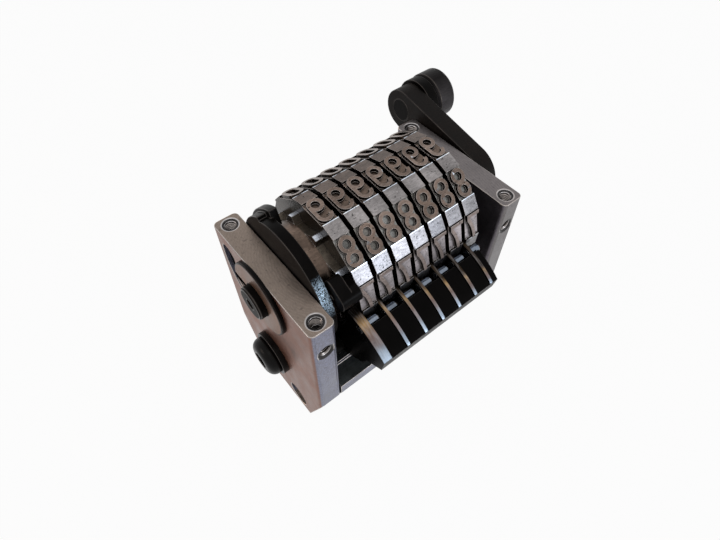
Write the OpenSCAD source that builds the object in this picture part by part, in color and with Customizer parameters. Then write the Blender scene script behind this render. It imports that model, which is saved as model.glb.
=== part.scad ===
// Rotary numbering box with seven wheels, index blades and a crank lever with a cam roller.
// The origin is the middle of the underside, +X runs along the shaft to the lever side, +Y to the back, +Z up.
// Angles named phi are turned about the shaft, from straight up towards the front.

/* [Side plates] */
// Thickness of each side plate
plate_t = 6; // [5:0.5:8]
// Depth of the plates, front to back
plate_depth = 36.7; // [35:0.5:42]
// Height of the plates
plate_height = 49.5; // [49:0.5:56]
// Depth below the base block's top at which the slanted feet begin
foot_drop = 4.5; // [1:0.5:8]
// How far each foot is drawn in at the bottom
foot_inset = 6.7; // [3:0.1:8]
// Rounding of the plates' upright corners
plate_corner_r = 1.2; // [0.4:0.1:2]
// Depth of the shaft centre below the plates' top
shaft_drop = 7.5; // [6.5:0.25:9]
// How far the shaft lies behind the middle of the plates
shaft_back = 0.3; // [0:0.1:1]

/* [Threaded holes] */
// Core radius of the threaded holes
thread_r = 1.25; // [1:0.05:1.6]
// Radius of the mouth of the top holes
top_mouth_r = 1.95; // [1.8:0.05:2.3]
// Depth of the mouth of the top holes
top_mouth_depth = 0.45; // [0.2:0.05:0.6]
// Depth of the top holes
top_hole_depth = 3; // [2:0.25:3.25]
// Distance of the top holes from the plates' front and rear faces
top_hole_inset = 2.6; // [2.4:0.1:4]
// Radius of the mouth of the front holes
front_mouth_r = 2.1; // [1.8:0.05:2.4]
// Depth of the front holes
front_hole_depth = 8; // [4:0.5:9]
// Depth of the front holes below the plates' top
front_hole_drop = 8.2; // [6:0.2:12]

/* [Shaft and bushes] */
// Radius of the shaft
shaft_r = 4; // [3:0.25:4.25]
// How far the shaft stands out of the left plate
shaft_proud = 3; // [2:0.25:5]
// Radius of the bushes' barrels
bush_r = 6.5; // [5.75:0.25:7]
// Radius of the left bush's flange
bush_flange_r = 9; // [8.25:0.25:9.75]
// Thickness of the left bush's flange
bush_flange_t = 1.1; // [0.8:0.1:1.8]
// Thickness of the shaft collar's wall
collar_wall = 1; // [0.8:0.1:1.4]
// Room beside the last wheel, for the collar and the return spring
collar_space = 4.96; // [4.96:0.2:8]

/* [Swing arm and pawl] */
// Radius of the swing arm's disc
arm_r = 15.1; // [15:0.1:15.4]
// Thickness of the swing arm
arm_t = 2.55; // [1.8:0.05:3]
// How far the arm's rear lobe reaches over the ratchet teeth
lobe_out = 2.2; // [2:0.1:2.8]
// How far the raised step on the rear lobe reaches over the ratchet teeth
step_out = 3; // [2.4:0.1:3.6]
// Thickness of the raised step
arm_step_t = 1.5; // [1:0.1:2]
// Radius at which the stop pin sits
stop_pin_at = 13.2; // [12.8:0.1:13.6]
// Radius of the stop pin
stop_pin_r = 2.2; // [1.5:0.1:2.3]
// Angle through which the lever swings
swing = 45; // [30:1:45]
// Radius of the drive pawl's boss
pawl_boss_r = 1.6; // [1.5:0.1:1.8]
// Radius of the drive pawl's heel over the ratchet teeth
pawl_heel_r = 2.2; // [1.8:0.1:2.4]
// Radius of the drive pawl's tip
pawl_tip_r = 1.4; // [1:0.1:1.6]
// Radius of the drive pawl's edge that bites into the ratchet teeth
pawl_bite_r = 0.8; // [0.6:0.1:1]
// Radius of the drive pawl's pin
pawl_pin_r = 0.6; // [0.5:0.05:0.65]

/* [Ratchets] */
// Radius over the ratchet teeth
ratchet_r = 13.8; // [13.2:0.1:13.9]
// Depth of the ratchet teeth
tooth_depth = 2.2; // [1.2:0.1:2.4]
// Width of the units ratchet's teeth
tooth_w = 1.9; // [1.7:0.1:2.6]
// How far the units ratchet's hub lies inside its teeth
hub_drop = 1.7; // [1.2:0.1:1.9]
// Width of the units ratchet's hub
hub_w = 3.07; // [2.6:0.1:4]
// Width of the thin ratchet ring beside each other wheel
ring_w = 0.82; // [0.6:0.02:0.84]

/* [Number wheels] */
// Number of wheels
wheel_count = 7; // [5:1:8]
// Radius over the raised figures
wheel_r = 17.2; // [17:0.1:17.8]
// Width of a wheel
wheel_w = 3.95; // [3.8:0.05:4.6]
// Gap between wheels
wheel_gap = 1.12; // [1.1:0.02:1.4]
// Height of a figure
digit_h = 6.7; // [6.2:0.1:6.9]
// Width of a figure
digit_w = 3.6; // [3.2:0.05:3.75]
// Stroke width of a figure
digit_stroke = 0.85; // [0.75:0.05:1.15]
// How far the figures stand up
digit_relief = 0.8; // [0.5:0.05:1]
// Length of the blank flat between two figures
blank_l = 3.7; // [3.2:0.05:3.75]
// How far the blank flats lie below the figures
blank_drop = 0.1; // [0.05:0.05:0.3]

/* [Index blades] */
// Thickness of the blades between the wheels
blade_t = 0.8; // [0.6:0.02:0.84]
// Thickness of the first blade
first_blade_t = 2.2; // [1.8:0.1:2.4]
// How far the blades reach forward of their pivot
blade_reach = 16.1; // [15:0.1:17]
// How far the pivot lies outside the wheels
pivot_out = 3.1; // [2.8:0.1:3.4]
// Angle of the pivot about the shaft
pivot_phi = 148.4; // [147:0.2:150]
// Radius of the pivot boss
blade_boss_r = 2.5; // [2.2:0.1:2.7]
// Radius of the pivot rod
pivot_rod_r = 1.5; // [1:0.1:1.7]
// Radius of the detent noses
nose_r = 0.95; // [0.8:0.05:1]
// How far the noses reach over their wheels
nose_l = 2.7; // [2:0.1:3.2]
// Angle of the noses about the shaft
nose_phi = 95; // [94:0.5:98]
// How far the blocks beside the blades lie inside the blades' ground edges
block_set_back = 0.25; // [0.1:0.05:0.5]
// Width of the block beside the last blade
block_tail = 1.7; // [1:0.1:2.4]

/* [Springs] */
// Mean radius of the blade springs
blade_spring_r = 1.3; // [1.1:0.05:1.4]
// Wire diameter of the blade springs
blade_wire = 0.4; // [0.3:0.05:0.45]
// Turns of each blade spring
blade_turns = 7; // [5:1:7]
// Wire diameter of the return spring
return_wire = 0.6; // [0.4:0.05:0.6]
// Turns of the return spring
return_turns = 2.75; // [1.75:1:2.75]

/* [Base] */
// How far the front of the base block lies below its top
front_relief = 1.2; // [0.6:0.1:1.8]
// Clearance between the blades' bosses and the base block
base_gap = 0.7; // [0.4:0.1:1.5]
// Radius of the rear tie rod
tie_rod_r = 3; // [2.4:0.1:3.2]
// Depth of the side screws below the base block's top
side_screw_drop = 4.6; // [4:0.2:7]
// How far the side screws lie behind the middle of the plates
side_screw_back = 1.1; // [0:0.1:2]
// Radius of the side screws' threads
side_screw_r = 3; // [2:0.1:3.2]
// Radius of the side screws' heads
side_head_r = 5.2; // [4.6:0.1:5.6]
// Height of the side screws' heads
side_head_h = 2.9; // [2.4:0.1:3.4]
// Radius of the side washers
side_washer_r = 6; // [5.8:0.1:6.6]
// Thickness of the side washers
side_washer_t = 1.6; // [1:0.1:1.8]
// Height of the base screws above the underside
base_screw_z = 4.1; // [3.8:0.1:5]
// Distance of the base screws from the front and rear ends of the plates' feet
base_screw_inset = 4.9; // [3.8:0.1:5.5]

/* [Crank lever] */
// Thickness of the lever
lever_t = 5; // [4:0.1:6.5]
// Distance from the shaft to the cam roller
lever_l = 24.4; // [22:0.2:27]
// Angle of the lever above the horizontal
lever_rise = 16.4; // [10:0.2:25]
// Radius of the lever's hub
lever_hub_r = 7.5; // [7:0.1:8.5]
// Radius of the lever's end
lever_end_r = 5.4; // [4.6:0.1:6]
// Radius of the cam roller
roller_r = 6.45; // [6:0.05:7]
// Width of the cam roller
roller_w = 6; // [5:0.1:8]
// Radius of the roller's stud
stud_r = 3; // [2.5:0.1:3.2]
// Radius of the collar beside the roller
roller_collar_r = 6.2; // [5.6:0.1:6.4]
// Thickness of the collar beside the roller
roller_collar_t = 3; // [2:0.1:4]

/* [Hidden] */
$fn = 48;
WHEEL_NODES = [for (k = [1 : wheel_count]) str("number_wheel_", k)];
BLADE_NODES = [for (k = [1 : wheel_count]) str("index_blade_", k)];
NOSE_NODES = [for (k = [1 : wheel_count]) str("blade_nose_", k)];

// One overrun serves all cuts
cut = 0.5;
// Running clearance of a bore on its pin or shaft, on the radius
run = 0.05;
// Clearance of pieces that pass each other
pass = 0.3;
// Side clearance of flat pieces
side = 0.15;

// Places along the shaft
arm_gap = side;
lever_gap = 0.4;
ratchet_in = arm_gap + arm_t + pass;
first_wheel_in = ratchet_in + hub_w + tooth_w;
wheel_pitch = wheel_w + wheel_gap;
stack_w = wheel_count * wheel_pitch - wheel_gap;
plate_gap = first_wheel_in + stack_w + collar_space;
left_in = -plate_gap / 2;
left_out = left_in - plate_t;
right_in = plate_gap / 2;
right_out = right_in + plate_t;
arm_x = left_in + arm_gap;
arm_face = arm_x + arm_t;
ratchet_x = left_in + ratchet_in;
tooth_x = ratchet_x + hub_w;
lever_x = right_out + lever_gap;
lever_out = lever_x + lever_t;
function wheel_x(k) = left_in + first_wheel_in + (k - 1) * wheel_pitch;
stack_end = wheel_x(wheel_count) + wheel_w;

// Places about the shaft
shaft_y = shaft_back;
shaft_z = plate_height - shaft_drop;
function spoke(phi) = [-sin(phi), cos(phi)];
function about(r, phi) = [shaft_y, shaft_z] + r * spoke(phi);

// Raised figures: their flat faces end in corners at the wheel's radius
digit_at = sqrt(wheel_r * wheel_r - digit_h * digit_h / 4);
blank_at = digit_at - blank_drop;
floor_at = digit_at - digit_relief;
first_digit_phi = 38.6;
station = 36;

// Side plates
pin_seat = 3;
top_hole_spacing = plate_depth - 2 * top_hole_inset;
base_screw_side = plate_depth / 2 - foot_inset - base_screw_inset;
slot_r = stop_pin_r + pass;
stop_phi = -82;
slot_spare = 3;

// Threaded and counterbored holes
base_shank_r = 2;
base_mouth_r = 3.4;
base_mouth_depth = 4;
base_head_r = 3.2;
base_head_h = 3;
base_screw_l = 14;
hex_r = 1.7;
hex_depth = 1.4;
side_screw_l = 18;
side_hex_r = 2.3;
side_hex_depth = 1.6;

// Bushes and shaft
bush_slot_l = 4.5;
bush_slot_w = 1.5;
bush_slot_depth = 0.8;
shaft_fit = 0.03;
centre_hole_r = 1.3;
centre_hole_depth = 2;
right_bush_proud = 0.3;
edge = 0.4;

// Swing arm and drive pawl
lobe_start = -95;
lobe_end = -29;
step_start = -69;
step_end = -22;
arm_lobe_r = ratchet_r + lobe_out;
arm_step_r = ratchet_r + step_out;
hub_r = ratchet_r - hub_drop;
step_in_r = hub_r + pass + edge;
pawl_phi = 64;
pawl_at = hub_r + pawl_boss_r + pass;
pawl_heel_phi = 65;
pawl_heel_at = ratchet_r + pawl_heel_r + pass;
pawl_tip_phi = 53;
pawl_tip_at = ratchet_r + pawl_tip_r + pass;
pawl_bite_phi = 58;
pawl_bite_at = ratchet_r + pawl_bite_r + pass;
pawl_x = arm_face + pass;
pawl_t = tooth_x + tooth_w - side - pawl_x;
pawl_boss_t = tooth_x - side - pawl_x;
pawl_wire = 0.25;
pawl_spring_r = pawl_pin_r + pawl_wire / 2 + side;
pawl_pocket_r = pawl_spring_r + pawl_wire;
pawl_pocket_depth = pawl_boss_t / 2;
pawl_turns = 2;

// Ratchet teeth: shares of one tooth's pitch
tooth_phi = 15.5;
teeth = 10;
land_share = 0.15;
steep_share = 0.05;
ramp_foot_share = 0.4;
ramp_foot_drop_share = 0.85;

// Collar, return spring and its pin
collar_r = shaft_r + collar_wall;
collar_x = stack_end + pass;
collar_t = right_in - pass - collar_x;
return_r = collar_r + return_wire + edge;
return_rise = collar_t - 3 * return_wire;
return_phi = -100;
return_leg = 3.8;
hook_phi = 6;
hook_hole_r = return_wire / 2 + side;
anchor_share = 0.82;
anchor_pin_r = 0.9;
anchor_place = about(return_r + return_wire / 2 + anchor_pin_r, return_phi)
               - return_leg * anchor_share * spoke(return_phi + 90);
anchor_l = collar_t - edge;

// Index blades: shares of the reach forward and of the rise above the pivot
pivot_at = wheel_r + pivot_out;
pivot_y = about(pivot_at, pivot_phi)[0];
pivot_z = about(pivot_at, pivot_phi)[1];
blade_in_r = ratchet_r + 2 * pass;
blade_top_z = shaft_z + edge;
blade_rise = blade_top_z - pivot_z;
blade_arc_y_share = -0.137;
blade_arc_z_share = -0.158;
blade_arc_r_share = 1.17;
blade_arc_r = blade_arc_r_share * blade_rise;
blade_front_shares = [[-1.25, 1.04], [-0.99, 0.726], [-0.944, 0.5], [-0.658, 0.334],
                      [-0.56, 0.173], [-0.331, 0.006], [-0.146, -0.093]];
boss_left_share = [-0.39, -0.92];
boss_right_share = [0.95, 0.3];
neck_share = 0.35;
nose_at = wheel_r + nose_r + pass;
function blade_x(k) = k == 1 ? wheel_x(1) - side - first_blade_t : wheel_x(k) - (wheel_gap + blade_t) / 2;
function blade_w(k) = k == 1 ? first_blade_t : blade_t;
function blade_end(k) = k < wheel_count ? blade_x(k + 1) - side : blade_x(k) + blade_w(k) + block_tail;
function seat_x(k) = k == 1 ? blade_x(k) + blade_w(k) : blade_x(k) - cut;
function spring_mid_x(k) = (max(seat_x(k), blade_x(k)) + blade_end(k)) / 2;
block_cut_phi = 55;

// Base block and the pockets of the blade springs
base_top = pivot_z - blade_boss_r - base_gap;
foot_rise = base_top - foot_drop;
side_screw_z = base_top - side_screw_drop;
spring_y = pivot_y - blade_boss_r * 2;
pocket_r = blade_spring_r + blade_wire / 2 + side;
pocket_depth = 3;
spring_foot = base_top - pocket_depth;
spring_head_share = 0.2;
spring_head = pivot_z + blade_boss_r * spring_head_share;
relief_back = spring_y + pocket_r + edge;
tie_rod_out = 5.05;
tie_rod_phi = -139.8;
tie_rod_place = about(wheel_r + tie_rod_out, tie_rod_phi);

// Crank lever, roller and their fasteners
key_w = 2.5;
key_l = lever_t - edge;
cap_washer_r = 6;
cap_washer_t = 1;
cap_head_r = 4.1;
cap_head_h = 2.2;
cap_screw_r = 2;
cap_screw_l = 10;
roller_place = [shaft_y + lever_l * cos(lever_rise), shaft_z + lever_l * sin(lever_rise)];
roller_collar_x = lever_out + edge / 4;
roller_x = roller_collar_x + roller_collar_t + side;
roller_end = roller_x + roller_w;
roller_chamfer = 0.7;
retainer_r = 4.6;
retainer_h = 1.2;
retainer_mouth = 1.5;
retainer_thread_r = 1.5;
retainer_l = 6;
oil_hole_r = 0.55;
oil_hole_depth = 0.8;
oil_hole_phi = 20;

// Small faces of springs
ring_sides = 6;
turn_rings = 8;

// A flat outline in Y and Z, made solid along X from x0
module slab(x0, t) translate([x0, 0, 0]) rotate([90, 0, 90]) linear_extrude(t) children();

// A round bar along X at a place given as [y, z]
module bar_x(x0, x1, r, place) translate([x0, place[0], place[1]]) rotate([0, 90, 0]) cylinder(h = x1 - x0, r = r);

// A cone or bar along X whose radius goes from ra to rb
module cone_x(x0, x1, ra, rb, place)
    translate([x0, place[0], place[1]]) rotate([0, 90, 0]) cylinder(h = x1 - x0, r1 = ra, r2 = rb);

// A flat wedge about the shaft, from one angle to another
module wedge(r, phi0, phi1)
    polygon(concat([[shaft_y, shaft_z]], [for (i = [0 : 6]) about(r * 2, phi0 + (phi1 - phi0) * i / 6)]));

// Part of a flat ring about the shaft
module ring_part(r_in, r_out, phi0, phi1) intersection() {
    difference() {
        translate([shaft_y, shaft_z]) circle(r_out);
        translate([shaft_y, shaft_z]) circle(r_in);
    }
    wedge(r_out, phi0, phi1);
}

// Two circles joined by their outer tangents
module link(a, ra, b, rb) {
    span = norm(b - a);
    lead = atan2(b[1] - a[1], b[0] - a[0]);
    open = acos((ra - rb) / span);
    function touch(c, r, t) = c + r * [cos(t), sin(t)];
    translate(a) circle(ra);
    translate(b) circle(rb);
    polygon([touch(a, ra, lead + open), touch(a, ra, lead - open), touch(b, rb, lead - open),
             touch(b, rb, lead + open)]);
}

// A round wire along points, with caps; up is a direction that the wire never follows
function unit(v) = v / norm(v);
function tangent(p, i) = unit(p[min(i + 1, len(p) - 1)] - p[max(i - 1, 0)]);
function wire_points(p, r, up) = [for (i = [0 : len(p) - 1])
    let (t = tangent(p, i), b = unit(cross(t, up)), n = cross(b, t))
    for (s = [0 : ring_sides - 1]) p[i] + r * (cos(s * 360 / ring_sides) * b + sin(s * 360 / ring_sides) * n)];
function wire_faces(rings) = concat(
    [for (i = [0 : rings - 2], s = [0 : ring_sides - 1])
        let (a = i * ring_sides, e = (s + 1) % ring_sides) each
        [[a + s, a + ring_sides + s, a + e], [a + e, a + ring_sides + s, a + ring_sides + e]]],
    [for (s = [1 : ring_sides - 2]) [0, s, s + 1]],
    [for (s = [1 : ring_sides - 2]) let (a = (rings - 1) * ring_sides) [a, a + s + 1, a + s]]
);
module wire(p, r, up) polyhedron(points = wire_points(p, r, up), faces = wire_faces(len(p)));

// Least gap between parts of a wire that lie more than half a turn apart
function self_gap(p, d) = min([for (i = [0 : len(p) - 1], j = [i + turn_rings / 2 : 1 : len(p) - 1])
    norm(p[i] - p[j])]) - d;

// A coil about X that climbs from x0 by rise
function coil_x(place, r, x0, rise, turns, start) = [for (i = [0 : turns * turn_rings])
    let (t = start + i * 360 / turn_rings)
    [x0 + rise * i / (turns * turn_rings), place[0] - r * sin(t), place[1] + r * cos(t)]];

// A coil that stands up along Z
function coil_z(x, y, r, z0, rise, turns) = [for (i = [0 : turns * turn_rings])
    let (t = i * 360 / turn_rings)
    [x + r * cos(t), y + r * sin(t), z0 + rise * i / (turns * turn_rings)]];

// Side plate outline, upright corners and holes
module plate_outline(top) polygon([
    [-plate_depth / 2, top],
    [-plate_depth / 2, foot_rise],
    [-plate_depth / 2 + foot_inset, 0],
    [plate_depth / 2 - foot_inset, 0],
    [plate_depth / 2, foot_rise],
    [plate_depth / 2, top]
]);

module rounded_plan(x0, x1) linear_extrude(plate_height) {
    translate([x0 + plate_corner_r, -plate_depth / 2])
        square([x1 - x0 - 2 * plate_corner_r, plate_depth]);
    translate([x0, -plate_depth / 2 + plate_corner_r])
        square([x1 - x0, plate_depth - 2 * plate_corner_r]);
    for (x = [x0 + plate_corner_r, x1 - plate_corner_r], s = [-1, 1])
        translate([x, s * (plate_depth / 2 - plate_corner_r)]) circle(plate_corner_r);
}

module threaded_hole(mouth_r, mouth_depth, depth) {
    cylinder(h = depth, r = thread_r);
    translate([0, 0, -cut]) cylinder(h = cut, r = mouth_r);
    cylinder(h = mouth_depth, r1 = mouth_r, r2 = thread_r);
}

module side_plate(x0, x1, inner, outer) {
    way = outer > inner ? 1 : -1;
    mid = (x0 + x1) / 2;
    difference() {
        intersection() {
            slab(x0, plate_t) plate_outline(plate_height);
            rounded_plan(x0, x1);
        }
        bar_x(x0 - cut, x1 + cut, bush_r, [shaft_y, shaft_z]);
        for (s = [-1, 1])
            translate([mid, s * top_hole_spacing / 2, plate_height]) mirror([0, 0, 1])
                threaded_hole(top_mouth_r, top_mouth_depth, top_hole_depth);
        translate([mid, -plate_depth / 2, plate_height - front_hole_drop]) rotate([-90, 0, 0])
            threaded_hole(front_mouth_r, top_mouth_depth, front_hole_depth);
        for (s = [-1, 1]) {
            bar_x(x0 - cut, x1 + cut, base_shank_r, [s * base_screw_side, base_screw_z]);
            bar_x(min(outer, outer - way * base_mouth_depth) - (way < 0 ? cut : 0),
                  max(outer, outer - way * base_mouth_depth) + (way > 0 ? cut : 0),
                  base_mouth_r, [s * base_screw_side, base_screw_z]);
        }
        bar_x(x0 - cut, x1 + cut, side_screw_r, [side_screw_back, side_screw_z]);
        bar_x(min(inner, inner + way * pin_seat) - (way > 0 ? cut : 0),
              max(inner, inner + way * pin_seat) + (way < 0 ? cut : 0), pivot_rod_r, [pivot_y, pivot_z]);
        bar_x(min(inner, inner + way * pin_seat) - (way > 0 ? cut : 0),
              max(inner, inner + way * pin_seat) + (way < 0 ? cut : 0), tie_rod_r, tie_rod_place);
    }
}

module arc_slot() {
    slab(left_out - cut, plate_t + 2 * cut) {
        ring_part(stop_pin_at - slot_r, stop_pin_at + slot_r, stop_phi - swing - slot_spare, stop_phi);
        translate(about(stop_pin_at, stop_phi)) circle(slot_r);
        translate(about(stop_pin_at, stop_phi - swing - slot_spare)) circle(slot_r);
    }
}

module left_side_plate() color([0.62, 0.58, 0.55]) difference() {
    side_plate(left_out, left_in, left_in, left_out);
    arc_slot();
}

module right_side_plate() color([0.6, 0.57, 0.55]) difference() {
    side_plate(right_in, right_out, right_in, right_out);
    bar_x(right_in - cut, right_in + pin_seat, anchor_pin_r, anchor_place);
}

module base_block() color([0.45, 0.47, 0.5]) difference() {
    slab(left_in, plate_gap) plate_outline(base_top);
    for (k = [1 : wheel_count])
        translate([spring_mid_x(k), spring_y, spring_foot])
            cylinder(h = pocket_depth + cut, r = pocket_r);
    translate([left_in - cut, -plate_depth / 2 - cut, base_top - front_relief])
        cube([plate_gap + 2 * cut, plate_depth / 2 + cut + relief_back, front_relief + cut]);
    for (s = [-1, 1]) {
        bar_x(s > 0 ? right_out - side_screw_l : left_in - cut, s > 0 ? right_in + cut : left_out + side_screw_l,
              side_screw_r, [side_screw_back, side_screw_z]);
        for (u = [-1, 1])
            bar_x(s > 0 ? right_out - base_mouth_depth - base_screw_l : left_in - cut,
                  s > 0 ? right_in + cut : left_out + base_mouth_depth + base_screw_l,
                  base_shank_r, [u * base_screw_side, base_screw_z]);
    }
}

module rear_tie_rod() color([0.35, 0.35, 0.37])
    bar_x(left_in - pin_seat, right_in + pin_seat, tie_rod_r, tie_rod_place);

module blade_pivot_rod() color([0.5, 0.5, 0.52])
    bar_x(left_in - pin_seat, right_in + pin_seat, pivot_rod_r, [pivot_y, pivot_z]);

// Sleeves that keep the row of blades in the middle of the pivot rod
module pivot_sleeves() color([0.08, 0.08, 0.08]) difference() {
    union() {
        bar_x(left_in, blade_x(1) - side, blade_boss_r, [pivot_y, pivot_z]);
        bar_x(blade_end(wheel_count) + side, right_in, blade_boss_r, [pivot_y, pivot_z]);
    }
    bar_x(left_in - cut, right_in + cut, pivot_rod_r, [pivot_y, pivot_z]);
}

module left_bush() color([0.5, 0.4, 0.38]) difference() {
    union() {
        bar_x(left_out, left_in, bush_r, [shaft_y, shaft_z]);
        bar_x(left_out - bush_flange_t + edge / 2, left_out, bush_flange_r, [shaft_y, shaft_z]);
        cone_x(left_out - bush_flange_t, left_out - bush_flange_t + edge / 2,
               bush_flange_r - edge / 2, bush_flange_r, [shaft_y, shaft_z]);
    }
    bar_x(left_out - bush_flange_t - cut, left_in + cut, shaft_r + shaft_fit, [shaft_y, shaft_z]);
    translate([left_out - bush_flange_t - cut, shaft_y + (bush_flange_r + shaft_r) / 2 - bush_slot_l / 2,
               shaft_z - bush_slot_w / 2])
        cube([bush_slot_depth + cut, bush_slot_l, bush_slot_w]);
}

module right_bush() color([0.55, 0.45, 0.35]) difference() {
    bar_x(right_in, right_out + right_bush_proud, bush_r, [shaft_y, shaft_z]);
    bar_x(right_in - cut, right_out + right_bush_proud + cut, shaft_r + shaft_fit, [shaft_y, shaft_z]);
}

module key_solid(l) translate([lever_x, shaft_y - key_w / 2, shaft_z + shaft_r - key_w / 2])
    cube([l, key_w, key_w]);

module main_shaft() color([0.12, 0.11, 0.11]) difference() {
    union() {
        bar_x(left_out - shaft_proud + edge, lever_out, shaft_r, [shaft_y, shaft_z]);
        cone_x(left_out - shaft_proud, left_out - shaft_proud + edge, shaft_r - edge, shaft_r, [shaft_y, shaft_z]);
    }
    bar_x(left_out - shaft_proud - cut, left_out - shaft_proud + centre_hole_depth, centre_hole_r,
          [shaft_y, shaft_z]);
    bar_x(lever_out - cap_screw_l, lever_out + cut, cap_screw_r, [shaft_y, shaft_z]);
    key_solid(lever_t + cut);
}

module swing_arm() color([0.07, 0.07, 0.07]) difference() {
    union() {
        slab(arm_x, arm_t) {
            translate([shaft_y, shaft_z]) circle(arm_r);
            ring_part(shaft_r * 2, arm_lobe_r, lobe_start, lobe_end);
        }
        slab(arm_face - edge, arm_step_t + edge) ring_part(step_in_r, arm_step_r, step_start, step_end);
    }
    bar_x(arm_x - cut, arm_face + cut, shaft_r, [shaft_y, shaft_z]);
    bar_x(arm_x - cut, arm_face + cut, stop_pin_r, about(stop_pin_at, stop_phi));
    bar_x(arm_x - cut, arm_face + cut, pawl_pin_r, about(pawl_at, pawl_phi));
}

module stop_pin() color([0.1, 0.1, 0.1])
    bar_x(left_out + edge * 2, arm_face, stop_pin_r, about(stop_pin_at, stop_phi));

// The pawl: a heel, a tip and a boss over the ratchet's hub, and a narrower edge over its teeth
module drive_pawl() color([0.06, 0.06, 0.06]) difference() {
    union() {
        slab(pawl_x, pawl_boss_t)
            link(about(pawl_heel_at, pawl_heel_phi), pawl_heel_r, about(pawl_tip_at, pawl_tip_phi), pawl_tip_r);
        slab(pawl_x + edge, pawl_t - edge)
            link(about(pawl_heel_at, pawl_heel_phi), pawl_heel_r, about(pawl_bite_at, pawl_bite_phi), pawl_bite_r);
        bar_x(pawl_x, pawl_x + pawl_boss_t, pawl_boss_r, about(pawl_at, pawl_phi));
    }
    bar_x(pawl_x - cut, pawl_x + pawl_boss_t, pawl_pin_r + run, about(pawl_at, pawl_phi));
    bar_x(pawl_x - cut, pawl_x + pawl_pocket_depth, pawl_pocket_r, about(pawl_at, pawl_phi));
}

module drive_pawl_pin() color([0.08, 0.08, 0.08])
    bar_x(arm_x, pawl_x + pawl_boss_t - side, pawl_pin_r, about(pawl_at, pawl_phi));

// The pawl spring lies round the pin, in a pocket of the pawl
pawl_coil = coil_x(about(pawl_at, pawl_phi), pawl_spring_r, arm_face + pawl_wire,
                   pawl_x + pawl_pocket_depth - arm_face - 2 * pawl_wire, pawl_turns, pawl_phi - 180);
module pawl_spring() color([0.15, 0.15, 0.15]) wire(pawl_coil, pawl_wire / 2, [1, 0, 0]);

// The return spring: a straight leg under its pin, the turns round the collar, and a hook in the collar
return_x = right_in - pass - return_wire;
return_end_phi = return_phi + return_turns * 360;
return_coil = concat(
    [let (p = about(return_r, return_phi) - return_leg * spoke(return_phi + 90)) [return_x, p[0], p[1]]],
    coil_x([shaft_y, shaft_z], return_r, return_x, -return_rise, return_turns, return_phi),
    [let (p = about(return_r - return_wire, return_end_phi + hook_phi)) [return_x - return_rise, p[0], p[1]]],
    [let (p = about(collar_r - collar_wall / 2, return_end_phi + hook_phi)) [return_x - return_rise, p[0], p[1]]]
);

module shaft_collar() color([0.3, 0.3, 0.31]) difference() {
    bar_x(collar_x, collar_x + collar_t, collar_r, [shaft_y, shaft_z]);
    bar_x(collar_x - cut, collar_x + collar_t + cut, shaft_r, [shaft_y, shaft_z]);
    translate([return_x - return_rise, shaft_y, shaft_z]) rotate([return_end_phi + hook_phi, 0, 0])
        cylinder(h = collar_r + cut, r = hook_hole_r);
}

module return_spring() color([0.25, 0.25, 0.26]) wire(return_coil, return_wire / 2, [1, 0, 0]);

module spring_anchor_pin() color([0.5, 0.5, 0.52])
    bar_x(right_in - anchor_l, right_in + pin_seat, anchor_pin_r, anchor_place);

module crank_lever() color([0.14, 0.11, 0.1]) difference() {
    slab(lever_x, lever_t) link([shaft_y, shaft_z], lever_hub_r, roller_place, lever_end_r);
    bar_x(lever_x - cut, lever_out + cut, shaft_r, [shaft_y, shaft_z]);
    bar_x(lever_x - cut, lever_out + cut, stud_r, roller_place);
    translate([-cut, 0, 0]) key_solid(lever_t + 2 * cut);
}

module lever_key() color([0.4, 0.4, 0.42]) key_solid(key_l);

module lever_washer() color([0.1, 0.1, 0.1]) difference() {
    bar_x(lever_out, lever_out + cap_washer_t, cap_washer_r, [shaft_y, shaft_z]);
    bar_x(lever_out - cut, lever_out + cap_washer_t + cut, cap_screw_r, [shaft_y, shaft_z]);
}

// A button head screw along X: its head begins at x0 and stands away from the shank
module button_screw(x0, way, head_r, head_h, shank_r, shank_l, socket_r, socket_depth, place) {
    flat_share = 0.75;
    brim_share = 0.3;
    translate([x0, place[0], place[1]]) rotate([0, way * 90, 0]) difference() {
        union() {
            translate([0, 0, -shank_l]) cylinder(h = shank_l + cut, r = shank_r);
            cylinder(h = head_h * brim_share, r = head_r);
            translate([0, 0, head_h * brim_share])
                cylinder(h = head_h * (1 - brim_share), r1 = head_r, r2 = head_r * flat_share);
        }
        translate([0, 0, head_h - socket_depth]) cylinder(h = socket_depth + cut, r = socket_r, $fn = 6);
    }
}

module lever_screw() color([0.08, 0.08, 0.08])
    button_screw(lever_out + cap_washer_t, 1, cap_head_r, cap_head_h, cap_screw_r, cap_screw_l + cap_washer_t,
                 hex_r, hex_depth, [shaft_y, shaft_z]);

module roller_stud() color([0.4, 0.4, 0.43]) difference() {
    bar_x(lever_x, roller_end - retainer_mouth, stud_r, roller_place);
    bar_x(roller_end - retainer_mouth - retainer_l, roller_end, retainer_thread_r, roller_place);
}

module roller_collar() color([0.07, 0.06, 0.06]) difference() {
    bar_x(roller_collar_x, roller_collar_x + roller_collar_t, roller_collar_r, roller_place);
    bar_x(roller_collar_x - cut, roller_collar_x + roller_collar_t + cut, stud_r, roller_place);
    for (u = [-1, 1])
        translate([roller_collar_x - cut, roller_place[0], roller_place[1]])
            rotate([u * oil_hole_phi, 0, 0]) translate([0, 0, (stud_r + roller_collar_r) / 2])
                rotate([0, 90, 0]) cylinder(h = cut + oil_hole_depth, r = oil_hole_r);
}

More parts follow.
